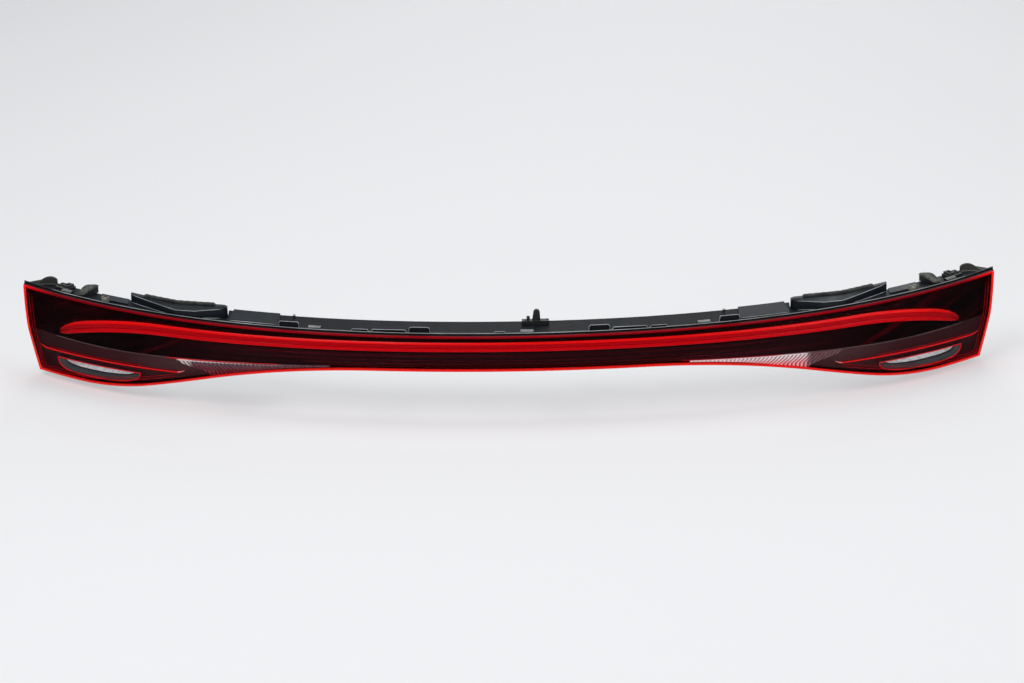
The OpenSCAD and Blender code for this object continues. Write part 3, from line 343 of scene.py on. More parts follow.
def mixColour(nt, fac, a, b, blend="MIX"):
    n = nt.nodes.new("ShaderNodeMix")
    n.data_type = "RGBA"
    n.blend_type = blend
    for sock, v in ((n.inputs[0], fac), (n.inputs[6], a), (n.inputs[7], b)):
        if isinstance(v, (int, float)):
            sock.default_value = v
        elif isinstance(v, tuple):
            sock.default_value = (*v, 1.0)
        else:
            nt.links.new(v, sock)
    return n.outputs[2]


def mathOf(nt, op, a, b=None, clamp=False):
    n = nt.nodes.new("ShaderNodeMath")
    n.operation = op
    n.use_clamp = clamp
    for sock, v in zip(n.inputs, (a, b)):
        if v is None:
            continue
        if isinstance(v, (int, float)):
            sock.default_value = v
        else:
            nt.links.new(v, sock)
    return n.outputs[0]


def bumpOf(nt, height, strength, distance):
    b = nt.nodes.new("ShaderNodeBump")
    b.inputs["Strength"].default_value = strength
    b.inputs["Distance"].default_value = distance
    nt.links.new(height, b.inputs["Height"])
    return b.outputs["Normal"]


def objectCoords(nt):
    return nt.nodes.new("ShaderNodeTexCoord").outputs["Object"]


def upFacing(nt):
    # 1 where a surface looks up, which is where dust lies
    g = nt.nodes.new("ShaderNodeNewGeometry")
    s = nt.nodes.new("ShaderNodeSeparateXYZ")
    nt.links.new(g.outputs["Normal"], s.inputs[0])
    return s.outputs["Z"]


def moulded(name, colour, dust=(0.2, 0.2, 0.19), dustShare=0.25, rough=0.42, grain=0.15,
            mottle=0.3, shine=0.3):
    # moulded plastic: flow mottle, fine grain, dust on what looks up
    m, nt, bsdf = newMaterial(name)
    co = objectCoords(nt)
    flow = noiseOf(nt, co, 22.0, 4.0, 0.6)
    dark = tuple(c * (1 - mottle) for c in colour)
    light = tuple(min(1.0, c * (1 + mottle) + 0.002) for c in colour)
    base = rampOf(nt, flow, [(0.3, dark), (0.52, colour), (0.75, light)])
    specks = noiseOf(nt, co, 420.0, 2.0, 0.7)
    patches = noiseOf(nt, co, 60.0, 5.0, 0.7)
    lying = mathOf(nt, "MULTIPLY", mathOf(nt, "MAXIMUM", upFacing(nt), 0.12), dustShare)
    where = mathOf(nt, "MULTIPLY", lying, greyRamp(nt, patches, [(0.42, 0.15), (0.7, 1.0)]))
    grains = mathOf(nt, "MULTIPLY", greyRamp(nt, specks, [(0.66, 0.0), (0.74, 1.0)]), lying)
    where = mathOf(nt, "ADD", where, grains, True)
    nt.links.new(mixColour(nt, where, base, dust), bsdf.inputs["Base Color"])
    roughness = greyRamp(nt, patches, [(0.3, rough - 0.08), (0.75, min(0.95, rough + 0.2))])
    nt.links.new(roughness, bsdf.inputs["Roughness"])
    nt.links.new(bumpOf(nt, specks, grain, 0.0004), bsdf.inputs["Normal"])
    bsdf.inputs["Specular IOR Level"].default_value = shine
    return m


def metal(name, colour, rough):
    # drawn or cast metal with fine brush lines and dull spots
    m, nt, bsdf = newMaterial(name)
    co = objectCoords(nt)
    brushed = noiseOf(nt, co, 160.0, 3.0, 0.6, (1.0, 1.0, 18.0))
    spots = noiseOf(nt, co, 55.0, 4.0, 0.65)
    dull = tuple(c * 0.7 for c in colour)
    nt.links.new(rampOf(nt, spots, [(0.35, dull), (0.6, colour)]), bsdf.inputs["Base Color"])
    roughness = greyRamp(nt, brushed, [(0.3, rough * 0.7), (0.75, rough * 1.5)])
    nt.links.new(roughness, bsdf.inputs["Roughness"])
    nt.links.new(bumpOf(nt, brushed, 0.12, 0.0002), bsdf.inputs["Normal"])
    bsdf.inputs["Metallic"].default_value = 1.0
    return m


def outward(nt, co, stops):
    # colour that changes with the distance from the lamp's middle, in metres
    s = nt.nodes.new("ShaderNodeSeparateXYZ")
    nt.links.new(co, s.inputs[0])
    return rampOf(nt, mathOf(nt, "ABSOLUTE", s.outputs["X"]), stops)


def glowing(name, deep, bright, light, strength, fade=None):
    # red optic plastic; its emission is a painted glow, as the lamp is not lit
    m, nt, bsdf = newMaterial(name)
    co = objectCoords(nt)
    streaks = noiseOf(nt, co, 30.0, 3.0, 0.5, (0.25, 1.0, 6.0))
    nt.links.new(rampOf(nt, streaks, [(0.35, deep), (0.65, bright)]), bsdf.inputs["Base Color"])
    nt.links.new(greyRamp(nt, streaks, [(0.3, 0.18), (0.8, 0.32)]), bsdf.inputs["Roughness"])
    bsdf.inputs["Specular IOR Level"].default_value = 0.2
    bsdf.inputs["Emission Color"].default_value = (*light, 1.0)
    if fade:
        faded = outward(nt, co, [(d, tuple(c * k for c in light)) for d, k in fade])
        nt.links.new(faded, bsdf.inputs["Emission Color"])
    bsdf.inputs["Emission Strength"].default_value = strength
    return m


def aboveCrease(nt, co):
    # distance from the middle and height above the crease, in metres
    s = nt.nodes.new("ShaderNodeSeparateXYZ")
    nt.links.new(co, s.inputs[0])
    far = mathOf(nt, "ABSOLUTE", s.outputs["X"])
    dipAt, width = lamp["creaseDipX"] * mm, lamp["halfWidth"] * mm
    t = mathOf(nt, "MINIMUM", mathOf(nt, "DIVIDE", far, dipAt), 1.0)
    arch = mathOf(nt, "POWER", mathOf(nt, "SUBTRACT", 1.0, mathOf(nt, "MULTIPLY", t, t)), 1.5)
    dip = mathOf(nt, "MULTIPLY", mathOf(nt, "SUBTRACT", 1.0, arch), lamp["creaseDip"] * mm)
    past = mathOf(nt, "MAXIMUM", mathOf(nt, "SUBTRACT", far, dipAt), 0.0)
    out = mathOf(nt, "DIVIDE", past, width - dipAt)
    lift = mathOf(nt, "MULTIPLY", mathOf(nt, "MULTIPLY", out, out), lamp["creaseLift"] * mm)
    z = mathOf(nt, "ADD", s.outputs["Z"], lamp["creaseMid"] * mm)
    return far, mathOf(nt, "SUBTRACT", mathOf(nt, "ADD", z, dip), lift)


def bezelFinish(name, look):
    # dark moulded field: brown-red in the middle, black with red streaks outside it;
    # below the crease a lighter brown-grey, a painted reflection of the floor, darker towards the
    # foot
    m, nt, bsdf = newMaterial(name)
    co = objectCoords(nt)
    far, height = aboveCrease(nt, co)
    rows = noiseOf(nt, co, 1.0, 3.0, 0.6, (2.0, 1.0, 330.0))
    middle = rampOf(nt, rows, look["middle"])
    turned = nt.nodes.new("ShaderNodeMapping")
    turned.inputs["Rotation"].default_value = (0.0, math.radians(24), 0.0)
    nt.links.new(co, turned.inputs["Vector"])
    streaks = noiseOf(nt, turned.outputs["Vector"], 1.0, 2.0, 0.5, (5.0, 1.0, 85.0))
    ends = rampOf(nt, streaks, look["ends"])
    high = greyRamp(nt, height, [(0.033, 0.0), (0.05, 1.0)])
    ends = mixColour(nt, high, ends, rampOf(nt, streaks, look["high"]))
    upper = mixColour(nt, greyRamp(nt, far, [(0.34, 0.0), (0.47, 1.0)]), middle, ends)
    grain = greyRamp(nt, noiseOf(nt, co, 260.0, 4.0, 0.6), [(0.4, 0.5), (0.65, 1.0)])
    # below the crease: painted reflection of the floor
    lower = mixColour(nt, 0.3, rampOf(nt, far, look["below"]), grain, "MULTIPLY")
    deep = mathOf(nt, "MULTIPLY", height, -1 / look["footDepth"], True)
    lower = mixColour(nt, deep, lower, look["foot"])
    under = mathOf(nt, "MULTIPLY", height, -1 / look["creaseSharp"], True)
    where = mathOf(nt, "MULTIPLY", under, greyRamp(nt, far, [(0.22, 0.0), (0.3, 1.0)]))
    nt.links.new(mixColour(nt, where, upper, lower), bsdf.inputs["Base Color"])
    nt.links.new(greyRamp(nt, rows, [(0.3, 0.35), (0.75, 0.6)]), bsdf.inputs["Roughness"])
    nt.links.new(bumpOf(nt, rows, 0.02, 0.0002), bsdf.inputs["Normal"])
    bsdf.inputs["Specular IOR Level"].default_value = 0.04
    return m


def combFinish(name, crest, rim, tail, tailFrom, strength):
    # milky prisms, reddened towards the lens's red rim and fading in the tail; their brightness is
    # emission, a painted highlight
    m, nt, bsdf = newMaterial(name)
    co = objectCoords(nt)
    far, height = aboveCrease(nt, co)
    haze = noiseOf(nt, co, 120.0, 3.0, 0.6, (0.6, 1.0, 1.0))
    down = greyRamp(nt, mathOf(nt, "MULTIPLY", height, -70.0), [(0.25, 0.0), (0.8, 1.0)])
    near = mixColour(nt, down, crest, rim)
    mottled = mixColour(nt, 0.4, near, greyRamp(nt, haze, [(0.35, 0.55), (0.65, 1.0)]), "MULTIPLY")
    fade = greyRamp(nt, far, [(tailFrom, 0.0), (tailFrom + 0.006, 1.0)])
    shown = mixColour(nt, fade, mottled, tail)
    nt.links.new(shown, bsdf.inputs["Base Color"])
    nt.links.new(shown, bsdf.inputs["Emission Color"])
    bsdf.inputs["Emission Strength"].default_value = strength
    nt.links.new(greyRamp(nt, haze, [(0.3, 0.2), (0.8, 0.4)]), bsdf.inputs["Roughness"])
    nt.links.new(bumpOf(nt, haze, 0.05, 0.0002), bsdf.inputs["Normal"])
    return m


def granular(name, dark, pale, rough):
    # silvered bowl with a fine grain of facets, its pale emission a painted reflection
    m, nt, bsdf = newMaterial(name)
    co = objectCoords(nt)
    cells = nt.nodes.new("ShaderNodeTexVoronoi")
    cells.inputs["Scale"].default_value = 420.0
    nt.links.new(co, cells.inputs["Vector"])
    tone = noiseOf(nt, cells.outputs["Position"], 300.0, 1.0, 0.5)
    nt.links.new(rampOf(nt, tone, [(0.38, dark), (0.6, pale)]), bsdf.inputs["Base Color"])
    nt.links.new(greyRamp(nt, tone, [(0.3, rough), (0.7, rough + 0.15)]), bsdf.inputs["Roughness"])
    nt.links.new(bumpOf(nt, cells.outputs["Distance"], 0.4, 0.0006), bsdf.inputs["Normal"])
    bsdf.inputs["Metallic"].default_value = 0.45
    # pale emission: a painted reflection
    bsdf.inputs["Emission Color"].default_value = (*pale, 1.0)
    bsdf.inputs["Emission Strength"].default_value = 0.5
    return m


def foamed(name, colour, pale, scale=260.0):
    # open-cell foam, dusty in patches
    m, nt, bsdf = newMaterial(name)
    co = objectCoords(nt)
    cells = nt.nodes.new("ShaderNodeTexVoronoi")
    cells.inputs["Scale"].default_value = scale
    nt.links.new(co, cells.inputs["Vector"])
    patches = noiseOf(nt, co, 70.0, 5.0, 0.7)
    dirt = mixColour(nt, greyRamp(nt, patches, [(0.38, 0.0), (0.7, 1.0)]), colour, pale)
    pits = greyRamp(nt, cells.outputs["Distance"], [(0.0, 0.35), (0.5, 1.0)])
    nt.links.new(mixColour(nt, 0.6, dirt, pits, "MULTIPLY"), bsdf.inputs["Base Color"])
    bsdf.inputs["Roughness"].default_value = 0.92
    surface = mathOf(nt, "ADD", cells.outputs["Distance"], patches)
    nt.links.new(bumpOf(nt, surface, 0.7, 0.0008), bsdf.inputs["Normal"])
    return m


def seeThrough(name, tint, alpha, ior, rough, streak=0.02, shine=0.5):
    # clear or smoked moulding: part of what is behind it shows
    m, nt, bsdf = newMaterial(name)
    co = objectCoords(nt)
    haze = noiseOf(nt, co, 35.0, 4.0, 0.6)
    wipe = noiseOf(nt, co, 90.0, 3.0, 0.6, (1.0, 1.0, 0.2))
    deeper = tuple(c * 0.75 for c in tint)
    nt.links.new(rampOf(nt, haze, [(0.35, deeper), (0.65, tint)]), bsdf.inputs["Base Color"])
    roughness = greyRamp(nt, wipe, [(0.35, rough), (0.8, rough + streak * 2)])
    nt.links.new(roughness, bsdf.inputs["Roughness"])
    bsdf.inputs["IOR"].default_value = ior
    bsdf.inputs["Alpha"].default_value = alpha
    bsdf.inputs["Specular IOR Level"].default_value = shine
    return m


print("finishes ready")

# the finishes of this lamp

red = {
    "rim": (0.95, 0.012, 0.009),
    "rimStrength": 0.36,
    "topMiddle": (0.26, 0.0, 0.005),
    "topOuter": (0.2, 0.0, 0.004),
    "topEnd": (0.7, 0.003, 0.007),
    "bandTop": (1.0, 0.004, 0.003),
    "bandMiddle": (0.85, 0.0, 0.006),
    "bandLow": (1.0, 0.0, 0.005),
    "tip": ((0.0, 1.0), (0.52, 1.0), (0.566, 0.75), (0.583, 0.3)),
}


def rimFinish(name, stops, strength, rough, shine):
    # the lens's red edge, cloudy, its emission a painted glow
    m, nt, bsdf = newMaterial(name)
    co = objectCoords(nt)
    colour = outward(nt, co, stops)
    cloud = noiseOf(nt, co, 45.0, 3.0, 0.6, (0.4, 1.0, 1.0))
    toned = mixColour(nt, 0.35, colour, greyRamp(nt, cloud, [(0.35, 0.6), (0.65, 1.0)]), "MULTIPLY")
    nt.links.new(toned, bsdf.inputs["Base Color"])
    nt.links.new(toned, bsdf.inputs["Emission Color"])
    nt.links.new(greyRamp(nt, cloud, [(0.3, rough), (0.7, rough + 0.14)]), bsdf.inputs["Roughness"])
    nt.links.new(bumpOf(nt, cloud, 0.05, 0.0003), bsdf.inputs["Normal"])
    bsdf.inputs["Specular IOR Level"].default_value = shine
    bsdf.inputs["Emission Strength"].default_value = strength
    return m


bezelLook = {
    "middle": (
        (0.3, (0.02, 0.007, 0.009)),
        (0.5, (0.045, 0.012, 0.016)),
        (0.7, (0.095, 0.008, 0.02)),
    ),
    "ends": (
        (0.42, (0.002, 0.0008, 0.0014)),
        (0.58, (0.012, 0.001, 0.002)),
        (0.7, (0.1, 0.0006, 0.004)),
    ),
    "high": ((0.4, (0.008, 0.001, 0.002)), (0.62, (0.06, 0.001, 0.006))),
    # below the crease: a painted reflection of the floor
    "below": ((0.42, (0.3, 0.15, 0.16)), (0.5, (0.17, 0.05, 0.065)), (0.62, (0.09, 0.026, 0.036))),
    "foot": (0.06, 0.008, 0.014),
    "footDepth": 0.05,
    "creaseSharp": 0.0006,
}
rimStops = [(0.0, red["rim"]), (0.6, red["rim"])]
rimRed = rimFinish("lensRimRed", rimStops, red["rimStrength"], 0.2, 0.15)
topStops = [
    (0.0, red["topMiddle"]),
    (0.4, red["topMiddle"]),
    (0.5, red["topOuter"]),
    (0.59, red["topOuter"]),
    (0.628, red["topEnd"]),
]
topRimRed = rimFinish("lensTopRimRed", topStops, 0.16, 0.45, 0.03)
lensBlack = moulded("lensReturnBlack", (0.016, 0.004, 0.006), dustShare=0.0, rough=0.5, shine=0.1)
smokedLens = seeThrough("smokedLens", (0.008, 0.0015, 0.002), 0.2, 1.6, 0.055, 0.02, 0.04)
smokedInside = seeThrough("smokedLensInside", (0.008, 0.0015, 0.002), 0.2, 1.5, 0.4, 0.05, 0.0)
deepRed, warmRed = (0.25, 0.0, 0.002), (0.3, 0.0, 0.003)
grooveRed = (0.1, 0.0, 0.002), (0.16, 0.0, 0.003)
# band glow painted by zone: upper face brightest as a painted highlight, groove and sides dim as
# painted shade
bandTop = glowing("bandUpperHighlight", deepRed, (0.4, 0.0, 0.003), red["bandTop"], 0.95, red["tip"])
bandMiddle = glowing("bandMiddle", deepRed, warmRed, red["bandMiddle"], 0.5, red["tip"])
bandGrooveShade = glowing("bandGrooveShade", *grooveRed, red["bandMiddle"], 0.16, red["tip"])
bandLow = glowing("bandLower", deepRed, warmRed, red["bandLow"], 0.62, red["tip"])
bandSideShade = glowing("bandSideShade", (0.02, 0.0, 0.001), (0.05, 0.0, 0.001), red["bandMiddle"], 0.02)
lineRed = glowing("lineRed", (0.7, 0.002, 0.006), (0.95, 0.01, 0.012), (1.0, 0.012, 0.012), 0.6)
lineHot = glowing("lineHot", (0.9, 0.3, 0.3), (1.0, 0.4, 0.4), (1.0, 0.25, 0.24), 0.5)
lineDark = glowing("lineDark", (0.3, 0.0, 0.004), (0.5, 0.0, 0.008), (0.9, 0.0, 0.01), 0.28)
faintRed = glowing("faintRed", (0.08, 0.0, 0.002), (0.2, 0.001, 0.004), (0.8, 0.0, 0.004), 0.08)
clearWindow = seeThrough("clearWindow", (0.2, 0.22, 0.23), 0.12, 1.5, 0.1)
dimWindow = seeThrough("dimWindow", (0.15, 0.2, 0.23), 0.88, 1.5, 0.2)
silver = granular("silverReflector", (0.4, 0.4, 0.42), (0.97, 0.97, 1.0), 0.35)
# the right comb catches the light along its whole length,
# the left one only at its outer ribs and its crest
# crest tones bright as a painted highlight, valley tones darker as painted shade in the recesses
combTones = {
    "combCrest": ((0.97, 0.8, 0.83), (0.97, 0.4, 0.43), (0.15, 0.066, 0.076), 0.374, 0.85),
    "combValleyShade": ((0.3, 0.1, 0.13), (0.4, 0.04, 0.07), (0.12, 0.05, 0.06), 0.374, 0.6),
    "combLeftCrest": ((0.2, 0.1, 0.125), (0.24, 0.03, 0.05), (0.9, 0.75, 0.77), 0.403, 0.5),
    "combLeftValleyShade": ((0.11, 0.045, 0.06), (0.12, 0.006, 0.015), (0.2, 0.09, 0.1), 0.403, 0.4),
}
combBright, combShaded, combLeftCrest, combLeftValleyShade = [
    combFinish(name, *tones) for name, tones in combTones.items()
]
# white line along the comb's crest: a painted highlight
highlightWhite = glowing("highlightWhite", (0.8, 0.66, 0.67), (0.95, 0.86, 0.86), (1.0, 0.9, 0.9), 0.5)


# outer lens: one two-shot moulding, smoked in the middle and red round its edge

lens = {
    "wall": 3.0,
    "innerRound": 0.8,
    "columns": 210,
    "endSteps": (0.0, 0.8, 1.8, 3.0, 8.0, 11.0),
    "endZone": 14.0,
    "rimEnd": 3.0,
    "rimTopFaces": 3,
    "redReturn": 0.25,
    "upperRows": 20,
    "lowerRows": 16,
    "roundSteps": 5,
}


def lensSection(x, inset, r):
    # from the top edge over the rounded corner and the crease to the bottom edge
    zt, zb, zc = topZ(x) - inset - r, footZ(x) + inset + r, creaseZ(x)
    ot, ob = face(x, zt) + inset, face(x, zb) + inset
    turns = [math.radians(90 * i / lens["roundSteps"]) for i in range(lens["roundSteps"])]
    top = [(ot + r - r * math.sin(a), zt + r * math.cos(a)) for a in turns]
    upper = [mix(zt, zc, i / lens["upperRows"]) for i in range(lens["upperRows"])]
    lower = [mix(zc, zb, i / lens["lowerRows"]) for i in range(lens["lowerRows"] + 1)]
    foot = [(ob + r - r * math.sin(a), zb - r * math.cos(a)) for a in turns[::-1]]
    return top + [(face(x, z) + inset, z) for z in upper + lower] + foot


def lensColumns():
    w = lamp["halfWidth"]
    middle = 1 - lens["endZone"] / w
    outside = [1 - e / w for e in lens["endSteps"]]
    return [-s for s in outside] + spread(-middle, middle, lens["columns"]) + outside[::-1]


def buildLens():
    cols = lensColumns()
    w = lamp["halfWidth"]
    wall = lens["wall"]
    outer = [[place(s, o, z) for o, z in lensSection(s * w, 0, lamp["edgeRound"])] for s in cols]
    inner = [
        [place(s, o, z, wall) for o, z in lensSection(s * w, wall, lens["innerRound"])]
        for s in cols
    ]
    edge = border(len(outer), len(outer[0]))

    def toWeld(p):
        return (p[0], yAt(p[0], weldDepth(p[0], p[2])), p[2])

    welds = [toWeld(outer[i][j]) for i, j in edge]
    split = [
        tuple(mix(outer[i][j][k], weld[k], lens["redReturn"]) for k in range(3))
        for (i, j), weld in zip(edge, welds)
    ]
    loops = [split, welds, [toWeld(inner[i][j]) for i, j in edge]]
    points, faces = shell(outer, loops, inner)
    rows, count = len(outer), len(outer[0])
    front = (rows - 1) * (count - 1)
    footFaces = lens["roundSteps"] + lens["upperRows"] + lens["lowerRows"]
    smoked, redRim, redTop, black, inside = range(5)
    kinds = []
    for n in range(len(faces)):
        if n >= 2 * front:
            ring, k = divmod(n - 2 * front, len(edge))
            onTop = edge[k][1] == 0 and edge[(k + 1) % len(edge)][1] == 0
            hidden = ring == 3 or (onTop and ring > 0)
            kinds.append(black if hidden else redTop if onTop else redRim)
            continue
        i, j = divmod(n % front, count - 1)
        s = (cols[i] + cols[i + 1]) / 2
        if (n < front and (1 - abs(s)) * w < lens["rimEnd"]) or j >= footFaces:
            kinds.append(redRim)
        elif j < lens["rimTopFaces"]:
            kinds.append(redTop)
        else:
            kinds.append(smoked if n < front else inside)
    mats = [smokedLens, rimRed, topRimRed, lensBlack, smokedInside]
    ob = pieceFrom("outerLensSkin", points, faces, mats, kinds, "red_lens", ["outer_lens"])
    creaseBy(ob, 24)


buildLens()
print("lens built")


# the band: a ridged bar of red optic plastic with drooping rounded tips

band = {
    "z": 9.0,
    "half": 6.2,
    "halfEnd": 8.0,
    "tipIn": 53.0,
    "nose": 38.0,
    "bluntAbove": 2.1,
    "bluntBelow": 3.6,
    "droopIn": 196.0,
    "droop": 20.0,
    "front": 4.2,
    "depth": 8.0,
    "groove": 0.9,
    "columns": 200,
    "noseTurns": (8, 16, 24, 32, 41, 50, 59, 67, 74, 80, 85, 88.5),
    "tipDrop": 2.2,
}
bandTaper = lamp["halfWidth"] - band["tipIn"] - band["nose"]


def bandHalf(x, blunt):
    if abs(x) < bandTaper:
        return mix(band["half"], band["halfEnd"], (x / bandTaper) ** 2)
    along = (abs(x) - bandTaper) / band["nose"]
    return band["halfEnd"] * max(0.0, 1 - along ** blunt) ** (1 / blunt)


def bandMid(x):
    out = max(0.0, abs(x) - lamp["halfWidth"] + band["droopIn"])
    return band["z"] - band["droop"] * (out / (band["droopIn"] - band["tipIn"])) ** 2


def bandColumns():
    nose = [bandTaper + band["nose"] * math.sin(math.radians(a)) for a in band["noseTurns"]]
    return [-x for x in nose[::-1]] + spread(-bandTaper, bandTaper, band["columns"]) + nose


# across the band from top to bottom: share of its height, how far it lies behind its own front,
# and its finish
bandProfile = [
    (1.0, 2.2, 4), (0.97, 0.9, 4), (0.88, 0.15, 0), (0.42, 0.0, 1), (0.1, 0.15, 1),
    (-0.22, 0.25, 2), (-0.26, 1.0, 2), (-0.31, 0.4, 3), (-0.42, 0.3, 3), (-0.62, 0.25, 3),
    (-0.82, 0.2, 3), (-0.95, 0.8, 4), (-1.0, 2.2, 4),
]


def buildBand():
    sections = []
    for x in bandColumns():
        above, below = bandHalf(x, band["bluntAbove"]), bandHalf(x, band["bluntBelow"])
        zc = bandMid(x) - band["tipDrop"] * clamp01((abs(x) - bandTaper) / band["nose"]) ** 3
        ring = []
        for v, d, kind in bandProfile:
            h = above if v > 0 else below
            ring.append(behindFace(x, zc + h * v, band["front"] + min(d * band["groove"], h)))
        back = face(x, zc) + band["front"] + band["depth"]
        ring += [at(x, back, zc - below), at(x, back, zc + above)]
        sections.append(ring)
    points, faces = loftAlong(sections)
    m = len(sections[0])
    kinds = []
    for f in faces:
        columns = [v % m for v in f]
        j = min(columns)
        kinds.append(bandProfile[j][2] if j < len(bandProfile) and max(columns) - j == 1 else 4)
    mats = [bandTop, bandMiddle, bandGrooveShade, bandLow, bandSideShade]
    ob = pieceFrom("bandGlow", points, faces, mats, kinds, "band_red", ["band_light_guide"])
    creaseBy(ob, 40)


buildBand()


# thin red lines: accent rods with their hooks, and the bead that runs inside the lens's edge

lines = {
    "accentRadius": 0.9,
    "accentIn": 22.0,
    "accentLength": 199.0,
    "accentZ": 46.0,
    "accentDepth": 6.2,
    "hook": 12.0,
    "hookRise": 4.0,
    "hotStub": 10.0,
    "reflectionSpan": (470.0, 602.0),
    "reflectionRise": 3.0,
    "reflectionBehind": 0.6,
    "reflectionRadius": 0.4,
    "edgeInset": 6.6,
    "edgeRadius": 0.38,
    "edgeSecond": 3.8,
    "edgeThinner": 0.8,
    "edgeDepth": 4.0,
    "edgeFrom": 425.0,
}


def accentPath():
    to = lamp["halfWidth"] - lines["accentIn"]
    start = to - lines["accentLength"]
    path = []
    for x in spread(start, to, 90):
        curl = max(0.0, 1 - min(to - x, x - start) / lines["hook"])
        z = -lines["accentZ"] + lines["hookRise"] * curl ** 2
        path.append(behindFace(x, z, lines["accentDepth"]))
    return path


def mirrored(points):
    return [(-p[0], p[1], p[2]) for p in points]


def bothSides(name, node, points, faces, mats, slot, kinds=None, sharp=35):
    # the same piece on the right and, mirrored, on the left
    made = []
    turned = mirrored(points), [f[::-1] for f in faces]
    for side, pts, fcs in (("Right", points, faces), ("Left", *turned)):
        nodes = [node + "_" + side.lower()] if node else []
        ob = pieceFrom(name + side, pts, fcs, mats, kinds, slot, nodes)
        creaseBy(ob, sharp)
        made.append(ob)
    return made


def buildAccent():
    points, faces = tubeAlong(accentPath(), lines["accentRadius"])
    hotUntil = lamp["halfWidth"] - lines["accentIn"] - lines["accentLength"] + lines["hotStub"]
    kinds = [1 if sum(points[v][0] for v in f) / len(f) < hotUntil else 0 for f in faces]
    return points, faces, kinds


points, faces, kinds = buildAccent()
bothSides("accentLine", "accent_guide", points, faces, [lineRed, lineHot], "accent_red", kinds)
# a thin dark red line above each accent rod: a painted reflection of the rod
z = -lines["accentZ"] + lines["reflectionRise"]
depth = lines["accentDepth"] + lines["reflectionBehind"]
accentReflectionPath = [behindFace(x, z, depth) for x in spread(*lines["reflectionSpan"], 60)]
bothSides("accentReflection", None, *tubeAlong(accentReflectionPath, lines["reflectionRadius"], 6), [lineDark], "accent_red")


def edgePath(inset, depth):
    # down the end and inwards along the foot
    w = lamp["halfWidth"]
    path = []
    for t in spread(0, 1, 24):
        z = mix(topZ(w) - inset, footZ(w) + inset, t)
        path.append(behindFace(endX(z) - inset, z, depth))
    for x in spread(w - inset - 12, lines["edgeFrom"], 60):
        path.append(behindFace(x, footZ(x) + inset, depth))
    return path


beads = ((0.0, 1.0), (lines["edgeSecond"], lines["edgeThinner"]))
for k, (extra, share) in enumerate(beads):
    path = edgePath(lines["edgeInset"] + extra, lines["edgeDepth"])
    bead = tubeAlong(path, lines["edgeRadius"] * share, 6)
    bothSides("edgeBead%d" % (k + 1), None, *bead, [lineDark], "accent_red")
print("band and lines built")


# moulded lines across the dark field of the bezel, faint red

field = {  # each line's height, radius and half length
    "lines": ((-3.0, 0.35, 330), (-8.5, 0.3, 300), (-13.0, 0.35, 260), (-16.5, 0.3, 235)),
    "depth": 6.6,
}
for k, (z0, radius, half) in enumerate(field["lines"]):
    path = [behindFace(x, z0, field["depth"]) for x in spread(-half, half, 90)]
    line = tubeAlong(path, radius, 6)
    pieceFrom("fieldLine%d" % (k + 1), *line, [faintRed], slot="bezel_black")


# the bezel's crest along the crease, a thin ridge in pale grey, a painted highlight

crest = {
    "span": (330.0, 590.0),
    "radius": 0.55,
    "depth": 6.9,
}
crestPath = [behindFace(x, creaseZ(x), crest["depth"]) for x in spread(*crest["span"], 90)]
# pale grey: a painted highlight along the crease
creaseHighlightGrey = moulded("creaseHighlightGrey", (0.3, 0.19, 0.2), dustShare=0.0, rough=0.4)
crestBead = tubeAlong(crestPath, crest["radius"], 6)
bothSides("creaseCrestHighlight", None, *crestBead, [creaseHighlightGrey], "bezel_black")


# ribbed optics: a comb of slanting prisms between the crease and the bottom edge

comb = {
    "outerIn": 211.0,
    "length": 199.0,
    "tail": 34.0,
    "tip": 2.5,
    "pitch": 5.3,
    "height": 1.1,
    "front": 3.4,
    "back": 7.2,
    "slant": 11.0,
    "slantOver": (12.0, 90.0),
    "edge": 0.8,
    "rows": 10,
    "valley": (0.82, 0.6),
}


def buildComb():
    to = lamp["halfWidth"] - comb["outerIn"]
    start = to - comb["length"]
    count = int(comb["length"] / comb["pitch"])
    xs, lifts = [], []
    for i in range(count):
        a = start + i * comb["pitch"]
        wide = mix(*comb["valley"], i / count)
        ribs = ((0.0, 0.25), (wide / 2, 0.0), (wide, 0.25), (wide + 0.04, 1.0), (0.96, 1.0))
        for share, lift in ribs:
            xs.append(a + share * comb["pitch"])
            lifts.append(lift * comb["height"])
    outer, inner = [], []
    rows = comb["rows"]
    fall, run = comb["slantOver"]
    for x, lift in zip(xs, lifts):
        zt = creaseZ(x) - comb["edge"]
        share = clamp01((x - to + comb["tail"]) / comb["tail"]) ** 0.6
        zb = mix(footZ(x) + lamp["edgeRound"] + comb["edge"], zt - comb["tip"], share)
        col, back = [], []
        for t in spread(0, 1, rows):
            z = mix(zt, zb, t)
            drop = clamp01((zt - z) / fall)
            xx = max(start, x - comb["slant"] * drop ** 1.3 * clamp01((x - start) / run))
            z = min(z, creaseZ(xx) - comb["edge"])
            col.append(behindFace(xx, z, comb["front"] + lift))
            back.append(behindFace(xx, z, comb["back"]))
        outer.append(col)
        inner.append(back)
    points, faces = shell(outer, [], inner)
    kinds = []
    for n in range(len(faces)):
        column = n // rows
        kinds.append(1 if column % 5 in (2, 3, 4) and n < (len(xs) - 1) * rows else 0)
    return points, faces, kinds


points, faces, kinds = buildComb()
combMats = [combBright, combShaded]
combs = bothSides("ribbedComb", "ribbed_optic", points, faces, combMats, "clear_optic", kinds, 18)
combs[1].data.materials[0] = combLeftCrest
combs[1].data.materials[1] = combLeftValleyShade

# painted highlights along the comb's crest: a white line under a red one on the left,
# a red one on the right

combCrest = {
    "depth": 4.3,
    "white": (287.0, 424.0),
    "whiteRadius": 0.95,
    "redLeft": (290.0, 438.0),
    "redRight": (215.0, 345.0),
    "redRadius": 0.6,
    "under": 1.3,
    "over": 0.7,
}


